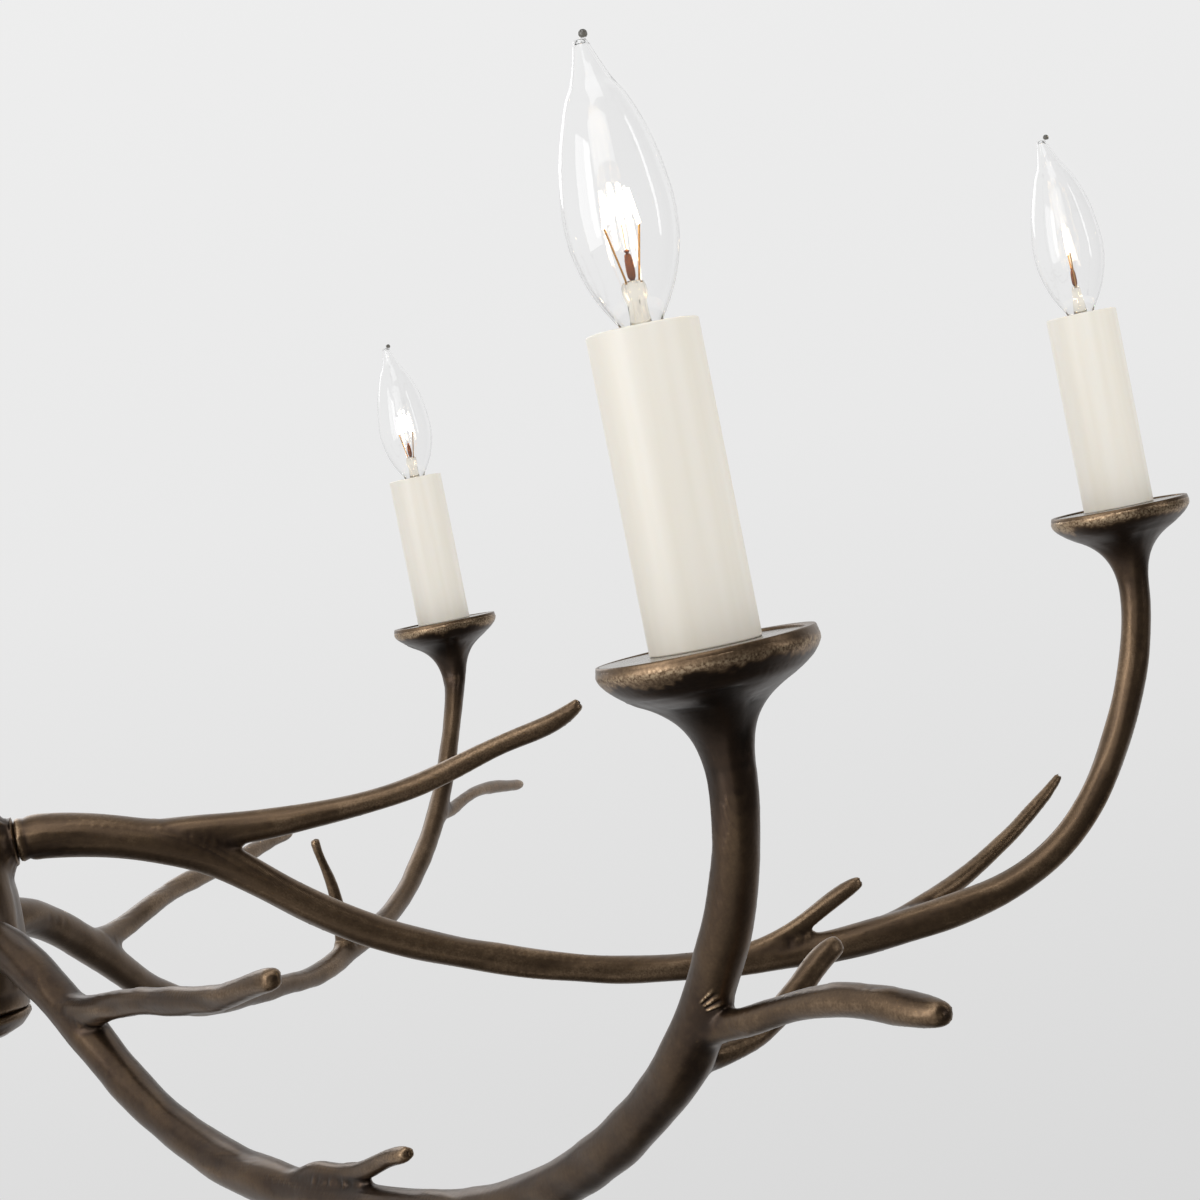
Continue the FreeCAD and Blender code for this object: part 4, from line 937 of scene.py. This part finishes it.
LEAD_FOOT, LEAD_TOP, PEAK = (2.0, 12.0), (5.4, 27.9), 39.3
filament_metal = new_material("Tungsten coil, lit", Base_Color=linear("#5A5048"), Metallic=1.0, Roughness=0.4,
                              Emission_Color=linear("#FFE6C2"), Emission_Strength=26.0)[0]
lead_wire = new_material("Dumet lead wire", Base_Color=linear("#B98A4A"), Metallic=1.0, Roughness=0.3)[0]
copper = new_material("Copper arbor", Base_Color=linear("#8A5230"), Metallic=0.9, Roughness=0.45)[0]
arch = [(-LEAD_TOP[0], 0, LEAD_TOP[1]), (-3.9, 0, 37.2), (-2.6, 0, 29.0), (-1.3, 0, 38.6), (0, 0, 28.6),
        (1.3, 0, PEAK), (2.6, 0, 29.0), (3.9, 0, 37.8), (LEAD_TOP[0], 0, LEAD_TOP[1])]
coil = drawn_wire("coil", coiled(arch, 0.5, 0.62), 0.17, 0)
for_each_arm(coil, "filament_coil", filament_metal, "bulb_%d", "bulb_filament_%d")
for side, label in ((-1, "left"), (1, "right")):
    lead = drawn_wire("lead", [(side * LEAD_FOOT[0], 0, LEAD_FOOT[1]), (side * 2.2, 0, 13.6),
                               (side * 5.2, 0, 27.0), (side * LEAD_TOP[0], 0, LEAD_TOP[1])], 0.3, 2)
    for_each_arm(lead, "lead_wire_" + label, lead_wire, "bulb_%d", "bulb_filament_%d")
hook = drawn_wire("hook", [(0, 0, 20.0), (0, 0, 28.6)], 0.1, 1)
for_each_arm(hook, "filament_hook", lead_wire, "bulb_%d", "bulb_filament_%d")
arbor_rings = [(0.5, 12.8), (1.1, 13.9), (1.25, 15.6), (1.15, 18.4), (0.9, 20.0), (0.4, 20.5), (0.85, 21.0),
               (0.5, 21.4), (0, 21.5)]
arbor = turned_piece("arbor", [(radius, SLEEVE_TOP + level) for radius, level in arbor_rings], 24)
for_each_arm(arbor, "copper_arbor", copper, "bulb_%d", "bulb_filament_%d")

# %% [markdown]
# ## Hub, trunk and finial
# They are castings of the same metal, and they are worked in the same way as the arms.

# %% The hub's castings
for seed, (node, name, voxel) in enumerate([("hub_body", "cast_hub", 1.3), ("hub_cover", "cast_cover", 1.0),
                                            ("trunk", "cast_trunk", 1.0), ("trunk_cap", "cast_cap", 0.8),
                                            ("finial", "cast_finial", 0.8)], 101):
    casting(node, name, voxel * MM, 10 * seed)

# %% [markdown]
# ## Steel and small parts
# Rods, swivel and canopy are smooth steel in the same bronze finish. Their shape is right as it is, so
# each is a joined copy whose round faces are shaded smooth. What lies hidden keeps its engineering mesh.

# %% Steel parts in the bronze finish
for node, body in (("canopy", "ceiling_mount"), ("canopy_collar", "ceiling_mount"), ("swivel_yoke", "yoke"),
                   ("swivel_knuckle", "pendant"), ("rod_upper", "pendant"), ("rod_lower", "pendant"),
                   ("rod_coupler", "pendant")):
    piece = merged_copy(node, node + "_skin")
    bpy.ops.object.shade_smooth_by_angle(angle=math.radians(28))
    piece.data.materials.append(painted_bronze)
    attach(piece, body)
    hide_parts(node)

# %% [markdown]
# Zinc plate is a bright, faintly blue-white metal with a fine spangle. Brass and the black phenolic of the
# sockets show only where one looks down into a sleeve.

# %% Plain metals and the phenolic
zinc, tree, shader = new_material("Zinc-plated steel", Base_Color=linear("#B9BCC0"), Metallic=1.0,
                                  Roughness=0.38)
spot = add_node(tree, "TexCoord").outputs["Object"]
spangle = add_node(tree, "TexNoise", {"Vector": spot, "Scale": 1 / (2.5 * MM), "Detail": 3.0}).outputs[0]
tree.links.new(shade_steps(tree, spangle, [(0.3, "#A9ADB2"), (0.7, "#C9CBCD")]), shader.inputs["Base Color"])
brass, tree, shader = new_material("Rolled brass", Base_Color=linear("#C9A25A"), Metallic=1.0,
                                   Roughness=0.28)
spot = add_node(tree, "TexCoord").outputs["Object"]
tarnish = add_node(tree, "TexNoise", {"Vector": spot, "Scale": 1 / (3 * MM), "Detail": 2.0}).outputs[0]
tree.links.new(shade_steps(tree, tarnish, [(0.3, "#B48D49"), (0.7, "#D6B36C")]), shader.inputs["Base Color"])
phenolic = new_material("Moulded black phenolic", Base_Color=linear("#1A1918"), Roughness=0.3, IOR=1.6)[0]
green = new_material("Green dyed screw", Base_Color=linear("#2E7A3A"), Metallic=0.7, Roughness=0.35)[0]
NODE_FINISHES = {
    zinc: ["mounting_strap", "swivel_stud", "strap_locknut", "swivel_pin", "rod_nipples", "tie_pipe",
           "tie_nut", "arm_nipples", "arm_locknuts", "socket_nipples", "socket_legs", "socket_nuts"],
    brass: ["socket_shells", "socket_contacts"] + ["bulb_base_%d" % number for number in ARMS],
    phenolic: ["socket_bodies"],
    green: ["ground_screw"],
}
for material, nodes in NODE_FINISHES.items():
    for node in nodes:
        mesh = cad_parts[node].data
        mesh.materials.clear()
        mesh.materials.append(material)

# %% [markdown]
# Last, nothing is left selected.

# %% Finish
deselect()
